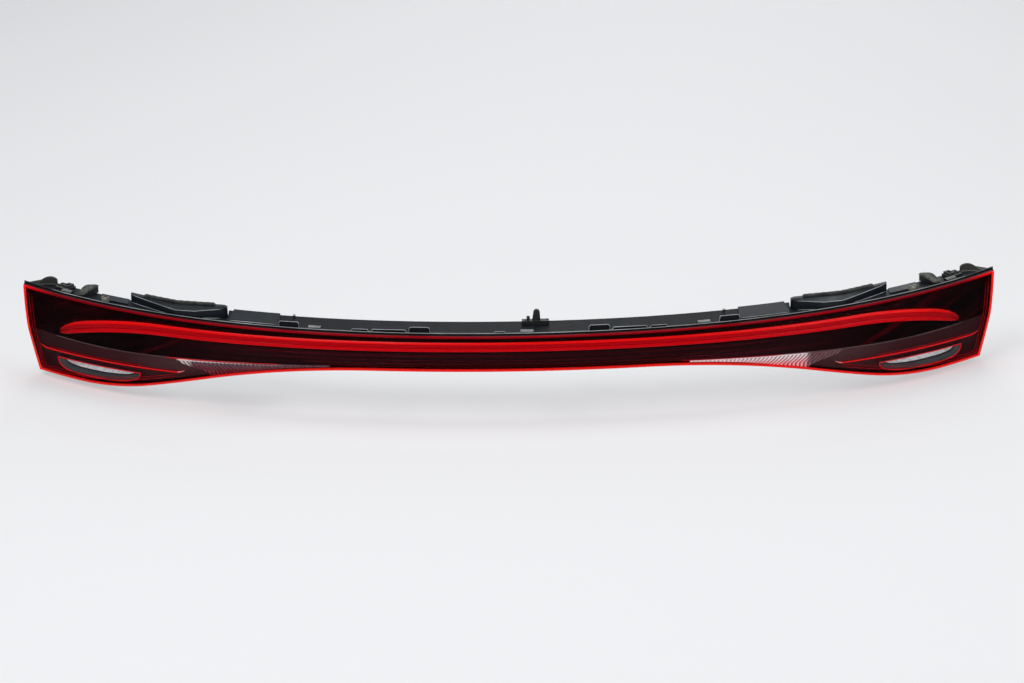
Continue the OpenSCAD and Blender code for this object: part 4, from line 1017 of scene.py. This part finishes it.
def crestLine(name, span, rise, side, radius, startShare, mat, slot):
    path = [behindFace(x, creaseZ(x) + rise, combCrest["depth"]) for x in spread(*span, 60)]
    path = path if side > 0 else mirrored(path)
    pieceFrom(name, *tubeAlong(path, radius, 8, startShare), [mat], slot=slot)


under, over = -combCrest["under"], combCrest["over"]
white, redBead = combCrest["whiteRadius"], combCrest["redRadius"]
crestLine("combWhiteHighlight", combCrest["white"], under, -1, white, 0.4, highlightWhite, "clear_optic")
crestLine("combRedHighlightLeft", combCrest["redLeft"], over, -1, redBead, 0.5, lineRed, "accent_red")
crestLine("combRedHighlightRight", combCrest["redRight"], over, 1, redBead, 1.0, lineDark, "accent_red")
print("ribbed optics built")


# reversing lamps: a smoked window with a red bead round it over a silver bowl

reverse = {
    "windowIn": 46.0,
    "length": 115.0,
    "top": 54.5,
    "height": 19.5,
    "belly": 37.0,
    "bellyPower": 2.6,
    "leastHeight": 0.16,
    "thick": 2.6,
    "front": 5.1,
    "bead": 0.58,
    "beadAhead": 0.5,
    "bowlFrom": 482.0,
    "bowlTo": 579.0,
    "bowlTop": 56.5,
    "bowlHeight": 8.5,
    "bowlRim": 1.5,
    "bowlDepth": 7.0,
    "bowlWall": 1.2,
    "bowlFront": 10.9,
    "facet": 0.25,
    "facetPitch": 4.0,
}
windowTo = lamp["halfWidth"] - reverse["windowIn"]
windowFrom = windowTo - reverse["length"]


def belly(x, start, to, power):
    # share of the full height at x: deepest towards the outer end
    deep = to - reverse["belly"]
    if x > deep:
        return (1 - clamp01((x - deep) / reverse["belly"]) ** 3) ** (1 / 3)
    return (1 - clamp01((deep - x) / (deep - start)) ** power) ** (1 / power)


def windowFoot(x):
    share = belly(x, windowFrom, windowTo, reverse["bellyPower"])
    return -reverse["top"] - reverse["height"] * max(reverse["leastHeight"], share)


def crescentFoot(x):
    start, to = reverse["bowlFrom"], reverse["bowlTo"]
    if x <= start or x >= to:
        return -reverse["bowlTop"]
    return -reverse["bowlTop"] - reverse["bowlHeight"] * belly(x, start, to, 2.0)


def windowXs():
    deep = windowTo - reverse["belly"]
    long = [deep - (deep - windowFrom) * math.cos(math.radians(a)) for a in spread(2, 88, 44)]
    short = [deep + reverse["belly"] * math.cos(math.radians(a)) for a in spread(90, 3, 24)]
    return long + short


def buildWindow():
    # clear over the silver crescent, dim below it
    outer, inner = [], []
    half, full = 6, 12
    for x in windowXs():
        zt, zb = -reverse["top"], windowFoot(x)
        zm = max(crescentFoot(x), zb + 0.3)
        zs = spread(zt, zm, half)[:-1] + spread(zm, zb, half)
        outer.append([behindFace(x, z, reverse["front"]) for z in zs])
        inner.append([behindFace(x, z, reverse["front"] + reverse["thick"]) for z in zs])
    points, faces = shell(outer, [], inner)
    front = (len(outer) - 1) * full
    kinds = []
    for n in range(len(faces)):
        dim = n >= 2 * front or (n % front) % full >= half
        kinds.append(1 if dim else 0)
    return points, faces, kinds


points, faces, kinds = buildWindow()
windowMats = [clearWindow, dimWindow]
bothSides("reverseWindow", "reverse_window", points, faces, windowMats, "smoke_window", kinds)


def windowRing():
    xs = windowXs()
    top = [(x, -reverse["top"]) for x in spread(xs[0], xs[-1], 40)]
    low = [(x, windowFoot(x)) for x in xs[::-1]]
    return [behindFace(x, z, reverse["front"] - reverse["beadAhead"]) for x, z in top + low]


ring = ringAlong(windowRing(), reverse["bead"], 8)
bothSides("windowBead", None, *ring, [lineRed], "accent_red")


def buildBowl():
    start = reverse["bowlFrom"] - reverse["bowlRim"]
    to = reverse["bowlTo"] + reverse["bowlRim"]
    zt = -reverse["bowlTop"] + reverse["bowlRim"]
    zb = zt - reverse["bowlHeight"] - 2 * reverse["bowlRim"]
    outer, inner = [], []
    for u in [0.5 - 0.5 * math.cos(math.pi * i / 60) for i in range(61)]:
        x = mix(start, to, u)
        dish = reverse["bowlDepth"] * math.sqrt(max(0.0, 1 - (2 * u - 1) ** 2))
        col, back = [], []
        for v in spread(0, 1, 16):
            z = mix(zt, zb, v)
            k = 0 if v < 0.05 or v > 0.95 else math.sin(math.pi * v)
            facet = reverse["facet"] * math.sin(x * 2 * math.pi / reverse["facetPitch"]) * k
            depth = face(x, z) + reverse["bowlFront"] + dish * k
            col.append(at(x, depth + facet, z))
            back.append(at(x, depth + reverse["bowlWall"], z))
        outer.append(col)
        inner.append(back)
    return shell(outer, [], inner)


bothSides("silverBowl", "reverse_reflector", *buildBowl(), [silver], "silver_bowl", sharp=50)
print("reversing lamps built")


# foam covers and strips: cut foam with a torn, dusty skin

foam = {
    "bracketIn": 90.0,
    "bracketHeight": 11.0,
    "bracketFront": 31.0,
    "bracketReach": (9.0, -5.0),
    "bracketHalf": (5.0, 8.0),
    "coverRows": 36,
    "thick": 2.5,
    "seat": 0.3,
    "stripStart": 16.0,
    "stripEnd": 18.0,
    "stripFront": 8.0,
    "stripBack": 1.5,
    "stripRows": 90,
    "fill": 0.9,
}
dustyFoam = foamed("dustyFoam", (0.05, 0.053, 0.05), (0.22, 0.225, 0.2))
stripFoam = foamed("stripFoam", (0.014, 0.016, 0.017), (0.075, 0.078, 0.07))
bracketX = lamp["halfWidth"] - foam["bracketIn"]
shroud = {
    "to": lamp["halfWidth"] - 149.0,
    "length": 129.0,
    "height": 10.0,
    "waist": 7.5,
    "lobe": 12.0,
    "crown": 1.2,
    "flat": (0.48, 0.69),
    "roofRise": 0.45,
}
shroudFrom = shroud["to"] - shroud["length"]
shroudFootTo, shroudFootFrom = [shroud["to"] - shroud["length"] * k for k in shroud["flat"]]


def roofZ(x):
    return topZ(x) - lamp["roofIn"] + shroud["roofRise"]


def wobble(seed, k):
    # a smooth repeatable unevenness between -1 and 1
    slow = math.sin(k * 0.37 + seed)
    quick = 0.6 * math.sin(k * 0.91 + seed * 2.3) + 0.4 * math.sin(k * 2.2 + seed * 5.1)
    return (slow + quick) / 2


def shroudTop(x):
    # height of the shroud's top edge above the roof
    if x > shroudFootTo:
        share = (x - shroudFootTo) / (shroud["to"] - shroudFootTo)
        return mix(shroud["waist"], shroud["height"], share)
    share = clamp01((x - shroudFrom) / (shroudFootTo - shroudFrom))
    return mix(shroud["lobe"], shroud["waist"], share)


def buildStrip():
    # a strip along the shroud's top, its front edge torn and its ends thinned
    sections = []
    xs = spread(shroudFrom + foam["stripStart"], shroud["to"] - foam["stripEnd"], foam["stripRows"])
    back, front = lamp["depth"] - foam["stripBack"], lamp["depth"] - foam["stripFront"]
    for i, x in enumerate(xs):
        z = roofZ(x) + shroudTop(x) + shroud["crown"] + foam["seat"]
        h = foam["thick"] * (1 + 0.12 * wobble(1.0, i * 2.0))
        h *= min(1.0, 0.35 + 0.3 * min(i, foam["stripRows"] - i))
        f = front + 0.5 * wobble(3.0, i * 1.7)
        crown = 1.0 + 0.05 * wobble(7.0, i * 3.1)
        profile = (
            (f, 0.0), (f - 0.1, 0.4), (f + 0.3, 0.8), (f + 1.0, 1.0), (mix(f, back, 0.5), crown),
            (back - 1.0, 1.0), (back - 0.2, 0.8), (back, 0.4), (back, 0.0),
        )
        sections.append([at(x, d, z + k * h) for d, k in profile])
    return loftAlong(sections)


for strip in bothSides("shroudFoam", "shroud_foam", *buildStrip(), [stripFoam], "dusty_foam"):
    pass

# across a bracket's cover: share of its half width and of its height
coverProfile = (
    (-1.0, 0.0), (-1.0, 0.5), (-0.9, 0.85), (-0.7, 1.0), (-0.3, 1.06), (0.0, 1.0), (0.35, 1.07),
    (0.7, 1.0), (0.9, 0.85), (1.0, 0.5), (1.0, 0.0),
)


def buildCover():
    # a pad that climbs the bracket from front to back
    sections = []
    rows = foam["coverRows"]
    for i in range(rows + 1):
        t = i / rows
        x = bracketX + mix(*foam["bracketReach"], t)
        y = yAt(x, mix(foam["bracketFront"], lamp["depth"] - 2, t))
        w = mix(*foam["bracketHalf"], t)
        climb = (foam["bracketHeight"] - foam["thick"] - 2) * t ** 0.8
        z = roofZ(x) + 2 + climb + foam["seat"]
        h = foam["thick"] * (1 + 0.1 * wobble(5.0, i * 2.3))
        h *= min(1.0, 0.5 + 0.25 * min(i, rows - i))
        h *= 0.9 + 0.8 * math.sin(math.pi * t ** 1.6)
        sections.append([(x + u * w, y, z + k * h) for u, k in coverProfile])
    return loftAlong(sections)


for cover in bothSides("bracketFoam", "bracket_foam", *buildCover(), [dustyFoam], "dusty_foam"):
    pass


# foam washers that seal the studs

seals = {
    "places": ((150.0, 0.0, 3.0), (525.0, -30.0, 9.0)),
    "inner": 5.8,
    "outer": 12.0,
    "from": 0.1,
    "to": 3.0,
    "steps": 48,
    "ragged": 0.12,
}
sealFoam = foamed("sealFoam", (0.012, 0.012, 0.012), (0.05, 0.05, 0.048), 420.0)


def buildSeals():
    # one foam washer round each stud
    points, faces = [], []
    n = seals["steps"]
    for sign in (-1, 1):
        for x, z, stands in seals["places"]:
            y = yAt(x, lamp["depth"]) + stands
            hole, rim, top = seals["inner"], seals["outer"], seals["to"]
            profile = [
                (hole, seals["from"]), (hole, top - 0.3), (hole + 0.4, top),
                (rim - 0.5, top), (rim, top - 0.5), (rim, seals["from"]),
            ]
            first, m = len(points), len(profile)
            for i in range(n):
                a = 2 * math.pi * i / n
                for k, (r, out) in enumerate(profile):
                    r += seals["ragged"] * wobble(2.0 + x, i * 1.3) if k in (3, 4) else 0.0
                    points.append((sign * x + r * math.cos(a), y + out, z + r * math.sin(a)))
            for i in range(n):
                here, there = first + i * m, first + ((i + 1) % n) * m
                for k in range(m):
                    after = (k + 1) % m
                    faces.append((here + k, here + after, there + after, there + k))
    return points, faces


sealRings = pieceFrom("studSeals", *buildSeals(), [sealFoam], None, "seal_foam", ["stud_seals"])
creaseBy(sealRings, 30)
print("foam built")


# pale edge lines, a painted highlight: along the weld flange, round the upright tabs, along the
# shrouds' front edges and the plates' ends

outline = {
    "flangeTo": 596.0,
    "flangeRise": 1.8,
    "flangeDepth": 0.5,
    "radius": 0.42,
    "tabs": ((0.388, 26.0, 9.5), (0.521, 44.0, 5.5), (0.646, 22.0, 5.0), (0.955, 26.0, 10.0)),
    "loneTab": (-12.0, 15.0, 4.0),
    "tabsTo": 290.0,
    "tabDepth": 21.6,
    "tabBevel": 2.5,
    "plateFrom": 290.0,
    "plateTo": 355.0,
    "plateFront": 27.0,
    "plateBack": 53.0,
    "plateTop": 2.2,
    "plateCut": 5.0,
    "shroudOut": (29.0, 7.0, 15.0),
    "shroudStart": 8.0,
}
# pale beads along edges: a painted highlight
paleEdgeHighlight = moulded("paleEdgeHighlight", (0.46, 0.49, 0.5), (0.4, 0.4, 0.38), 0.2, 0.5, 0.1, 0.5)


def shroudFront(x):
    # depth of the shroud's front edge
    foot, tip, lobe = outline["shroudOut"]
    if x > shroudFootTo:
        return lamp["depth"] - mix(foot, tip, (x - shroudFootTo) / (shroud["to"] - shroudFootTo))
    if x > shroudFootFrom:
        return lamp["depth"] - foot
    share = ((shroudFootFrom - x) / (shroudFootFrom - shroudFrom)) ** 0.8
    return lamp["depth"] - mix(foot, lobe, share)


def tabPath(x0, width, height):
    half, cut = width / 2, outline["tabBevel"]
    flat, shoulder = half - cut * 0.6, height - cut
    corners = [(-half, 0.0), (-half, shoulder), (-flat, height)]
    corners += [(-u, v) for u, v in corners[::-1]]
    lean = turn(x0)
    y0, z0 = yAt(x0, outline["tabDepth"]), topZ(x0) - lamp["roofIn"]
    path = []
    for (u0, v0), (u1, v1) in zip(corners, corners[1:]):
        for t in (0.0, 0.25, 0.5, 0.75):
            u, v = mix(u0, u1, t), mix(v0, v1, t)
            path.append((x0 + u * math.cos(lean), y0 + u * math.sin(lean), z0 + v))
    return path


def flangePath():
    path = []
    for x in spread(-outline["flangeTo"], outline["flangeTo"], 220):
        z = topZ(x)
        path.append(at(x, weldDepth(x, z) + outline["flangeDepth"], z + outline["flangeRise"]))
    return path


def sidePaths():
    # the shroud's top and foot edges and its tip, then the plate's front and end
    xs = spread(shroudFrom + outline["shroudStart"], shroud["to"], 50)
    tip = shroud["to"]
    front, rise = outline["plateFront"], outline["plateTop"]
    cutX = outline["plateTo"] - outline["plateCut"]
    top = [at(x, shroudFront(x) + 1, roofZ(x) + shroudTop(x)) for x in xs]
    foot = [at(x, shroudFront(x), roofZ(x)) for x in xs]
    tipShares = (0, 0.3, 0.6, 0.95)
    tipUp = [at(tip, shroudFront(tip), roofZ(tip) + k * shroud["height"]) for k in tipShares]
    plateXs = spread(outline["plateFrom"], outline["plateTo"], 20)
    plate = [at(x, front, roofZ(x) + rise) for x in plateXs]
    end = []
    for t in spread(0, 1, 8):
        x, depth = mix(outline["plateTo"], cutX, t), mix(front, outline["plateBack"], t)
        end.append(at(x, depth, roofZ(cutX) + rise))
    return top, foot, tipUp, plate, end


def edgeBeads():
    # one list of points and faces for all the beads
    paths = [flangePath(), tabPath(*outline["loneTab"])]
    for side in (1, -1):
        for share, width, height in outline["tabs"]:
            paths.append(tabPath(side * share * outline["tabsTo"], width, height))
        paths += [path if side > 0 else mirrored(path) for path in sidePaths()]
    points, faces = [], []
    for path in paths:
        pts, fcs = tubeAlong(path, outline["radius"], 6)
        faces += [tuple(v + len(points) for v in f) for f in fcs]
        points += pts
    return points, faces


pieceFrom("paleEdgeHighlights", *edgeBeads(), [paleEdgeHighlight], slot="housing_black")
print("edges built")


# what stays as the solids have it: each node's finish, and a pale line along its edges as a painted
# highlight

finishes = {  # name, colour and what differs from plain moulded plastic
    "rear_housing": (
        "housingBlack", (0.0055, 0.0078, 0.0105),
        {"dustShare": 0.035, "rough": 0.42, "shine": 0.12},
    ),
    "band_reflector_centre": (
        "troughWhite", (0.78, 0.78, 0.76),
        {"dustShare": 0.02, "mottle": 0.03},
    ),
    "led_board_centre": (
        "filmBoard", (0.7, 0.71, 0.68),
        {"dustShare": 0.0, "mottle": 0.05},
    ),
    "band_leds": ("diodeYellow", (0.85, 0.7, 0.22), {"dustShare": 0.0, "rough": 0.2}),
    "reverse_board_left": ("boardGreen", (0.03, 0.14, 0.06), {"dustShare": 0.0, "rough": 0.35}),
    "module_lid": ("lidBlack", (0.02, 0.021, 0.023), {"dustShare": 0.15}),
    "connector_socket": (
        "connectorBlack", (0.014, 0.014, 0.016),
        {"dustShare": 0.12, "rough": 0.5},
    ),
    "vent_cap_left": ("ventBlack", (0.018, 0.018, 0.02), {"dustShare": 0.2, "rough": 0.5}),
    "top_shroud_left": (
        "shroudBlack", (0.008, 0.0115, 0.016),
        {"dustShare": 0.05, "rough": 0.36, "shine": 0.18},
    ),
    "side_bracket_left": ("bracketBlack", (0.02, 0.021, 0.022), {"dustShare": 0.4}),
    "end_hood_left": (
        "hoodGrey", (0.05, 0.052, 0.046),
        {"dustShare": 0.5, "rough": 0.6, "mottle": 0.4},
    ),
    "inner_plate_left": (
        "innerPlateBlack", (0.009, 0.0125, 0.0175),
        {"dustShare": 0.05, "rough": 0.34, "shine": 0.18},
    ),
    "outer_plate_left": (
        "outerPlateBlack", (0.014, 0.019, 0.027),
        {"dustShare": 0.06, "rough": 0.4, "shine": 0.2},
    ),
    "pale_plug_left": (
        "plugPale", (0.3, 0.3, 0.25),
        {"dustShare": 0.3, "rough": 0.6, "mottle": 0.2},
    ),
    "clip_block_left": (
        "clipBlockBlack", (0.014, 0.014, 0.015),
        {"dustShare": 0.5, "rough": 0.5},
    ),
    "centre_locator": (
        "locatorBlack", (0.012, 0.013, 0.014),
        {"dustShare": 0.3, "rough": 0.45},
    ),
}
metals = {  # name, colour and roughness
    "reverse_heat_sink_left": ("sinkAluminium", (0.62, 0.63, 0.65), 0.4),
    "module_case": ("caseCast", (0.56, 0.57, 0.58), 0.5),
    "board_screws": ("screwZinc", (0.6, 0.59, 0.54), 0.35),
    "connector_pins": ("pinBrass", (0.78, 0.62, 0.3), 0.25),
    "mounting_studs": ("studZinc", (0.66, 0.63, 0.5), 0.35),
    "spring_clips": ("clipSteel", (0.24, 0.245, 0.24), 0.55),
    "edge_pins": ("edgePinSteel", (0.5, 0.5, 0.5), 0.35),
    "locating_pin": ("locatingPinZinc", (0.62, 0.6, 0.52), 0.35),
}
sameAs = {
    "band_reflector_left": "band_reflector_centre",
    "band_reflector_right": "band_reflector_centre",
    "led_board_left": "led_board_centre",
    "led_board_right": "led_board_centre",
    "module_board": "reverse_board_left",
}
edgeHighlightWidth = {  # width of the painted edge highlight in millimetres
    "rear_housing": 0.7,
    "top_shroud_left": 0.8,
    "inner_plate_left": 0.7,
    "outer_plate_left": 0.6,
    "centre_locator": 0.6,
    "clip_block_left": 0.6,
    "end_hood_left": 0.6,
    "pale_plug_left": 0.4,
    "side_bracket_left": 0.6,
}
edgeFrom = 42  # degrees between two faces from which an edge gets the painted highlight
creaseFrom = 26  # and from which an edge without the painted highlight looks sharp
# pale bevel faces along edges: a painted highlight
edgeHighlight = moulded("edgeHighlight", (0.34, 0.36, 0.37), (0.4, 0.4, 0.38), 0.2, 0.45, 0.1, 0.5)
nodeFinish = {"inner_bezel": bezelFinish("bezelBlack", bezelLook)}
for node, (name, colour, differs) in finishes.items():
    nodeFinish[node] = moulded(name, colour, **differs)
for node, (name, colour, rough) in metals.items():
    nodeFinish[node] = metal(name, colour, rough)


def finishOf(node):
    if node in nodeFinish:
        return nodeFinish[node]
    if node in sameAs:
        return nodeFinish[sameAs[node]]
    return nodeFinish[node.replace("_right", "_left")]  # the same as its left-hand twin


for node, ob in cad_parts.items():
    if ob.hide_render:
        continue
    ob.data.materials.clear()
    ob.data.materials.append(finishOf(node))
    highlightWidth = edgeHighlightWidth.get(node.replace("_right", "_left"))
    if highlightWidth:
        ob.data.materials.append(edgeHighlight)
        bevel = ob.modifiers.new("edge", "BEVEL")
        bevel.width = highlightWidth * mm
        bevel.segments = 1
        bevel.limit_method = "ANGLE"
        bevel.angle_limit = math.radians(edgeFrom)
        bevel.material = 1
        bevel.use_clamp_overlap = True
    else:
        ob.data.polygons.foreach_set("use_smooth", [True] * len(ob.data.polygons))
        creaseBy(ob, creaseFrom)
print("node finishes done")


# floor, light and camera

stageLook = {
    "floorColour": (0.5, 0.5, 0.51),
    "floorRough": 0.9,
    "floorHalf": 30.0,  # in metres
    "floorZ": -92.0,
    "paleSeen": (0.97, 0.98, 1.0),
    "floorPaleness": 0.42,
    "worldPaleness": 0.5,
    "worldStrength": 0.13,
    "worldColour": (0.8, 0.83, 0.88),
}


def seenRay(nt):
    # 1 for what the camera, a mirror or a window sees, so that the paleness adds no light
    # to the lamp
    path = nt.nodes.new("ShaderNodeLightPath").outputs
    mirrorOrWindow = mathOf(nt, "MAXIMUM", path["Is Glossy Ray"], path["Is Transmission Ray"])
    return mathOf(nt, "MAXIMUM", path["Is Camera Ray"], mirrorOrWindow)


floorTo = stageLook["floorHalf"]
floorCorners = [(u * floorTo, v * floorTo, 0) for u, v in ((-1, -1), (1, -1), (1, 1), (-1, 1))]
floorMesh = bpy.data.meshes.new("floor")
floorMesh.from_pydata(floorCorners, [], [(0, 1, 2, 3)])
floor = bpy.data.objects.new("floor", floorMesh)
floor.location = (0, 0, stageLook["floorZ"] * mm)
scene.collection.objects.link(floor)
floorPale, nt, bsdf = newMaterial("floorPale")
bsdf.inputs["Base Color"].default_value = (*stageLook["floorColour"], 1.0)
bsdf.inputs["Emission Color"].default_value = (*stageLook["paleSeen"], 1.0)
paleness = mathOf(nt, "MULTIPLY", seenRay(nt), stageLook["floorPaleness"])
nt.links.new(paleness, bsdf.inputs["Emission Strength"])
bsdf.inputs["Roughness"].default_value = stageLook["floorRough"]
floorMesh.materials.append(floorPale)

world = bpy.data.worlds.new("studio")
scene.world = world
world.use_nodes = True
nt = world.node_tree
sky = nt.nodes["Background"]
sky.inputs["Color"].default_value = (*stageLook["worldColour"], 1.0)
more = stageLook["worldPaleness"] - stageLook["worldStrength"]
paler = mathOf(nt, "MULTIPLY", seenRay(nt), more)
nt.links.new(mathOf(nt, "ADD", paler, stageLook["worldStrength"]), sky.inputs["Strength"])

lamps = {  # place in metres, watts and size
    "keyLamp": ((-1.2, -1.8, 2.4), 45.0, 1.6),
    "fillLamp": ((2.2, -1.4, 1.5), 22.0, 1.8),
    "topLamp": ((0.0, 0.6, 2.6), 27.0, 2.0),
    "backLamp": ((0.4, 2.8, 1.6), 17.0, 1.8),
}
lampsAimAt = Vector((0, 0.05, 0))
for name, (spot, watts, size) in lamps.items():
    data = bpy.data.lights.new(name, "AREA")
    data.energy = watts
    data.size = size
    ob = bpy.data.objects.new(name, data)
    ob.location = spot
    ob.rotation_euler = (lampsAimAt - Vector(spot)).to_track_quat("-Z", "Y").to_euler()
    scene.collection.objects.link(ob)

camera = {
    "lens": 100.0,
    "sensor": 36.0,
    "seesTo": 100.0,  # in metres
    "elevation": 20.0,
    "rollRise": (14.0, 971.0),  # the photo's lamp rises this far over its width
    "distance": 3588.4,
    "raise": 2.5 / 2844.4,  # share of the distance
}
tilt = math.radians(camera["elevation"])
roll = math.atan2(*camera["rollRise"])
ahead = Vector((0, math.cos(tilt), -math.sin(tilt)))
right0, up0 = Vector((1, 0, 0)), Vector((0, math.sin(tilt), math.cos(tilt)))
right = right0 * math.cos(roll) - up0 * math.sin(roll)
up = right0 * math.sin(roll) + up0 * math.cos(roll)
where = (-ahead * camera["distance"] + right * (camera["raise"] * camera["distance"])) * mm
camData = bpy.data.cameras.new("camera")
camData.lens = camera["lens"]
camData.sensor_width = camera["sensor"]
camData.clip_end = camera["seesTo"]
cam = bpy.data.objects.new("camera", camData)
cam.matrix_world = Matrix((
    (right.x, up.x, -ahead.x, where.x),
    (right.y, up.y, -ahead.y, where.y),
    (right.z, up.z, -ahead.z, where.z),
    (0, 0, 0, 1),
))
scene.collection.objects.link(cam)
scene.camera = cam
scene.view_settings.view_transform = "Standard"
print("stage ready")
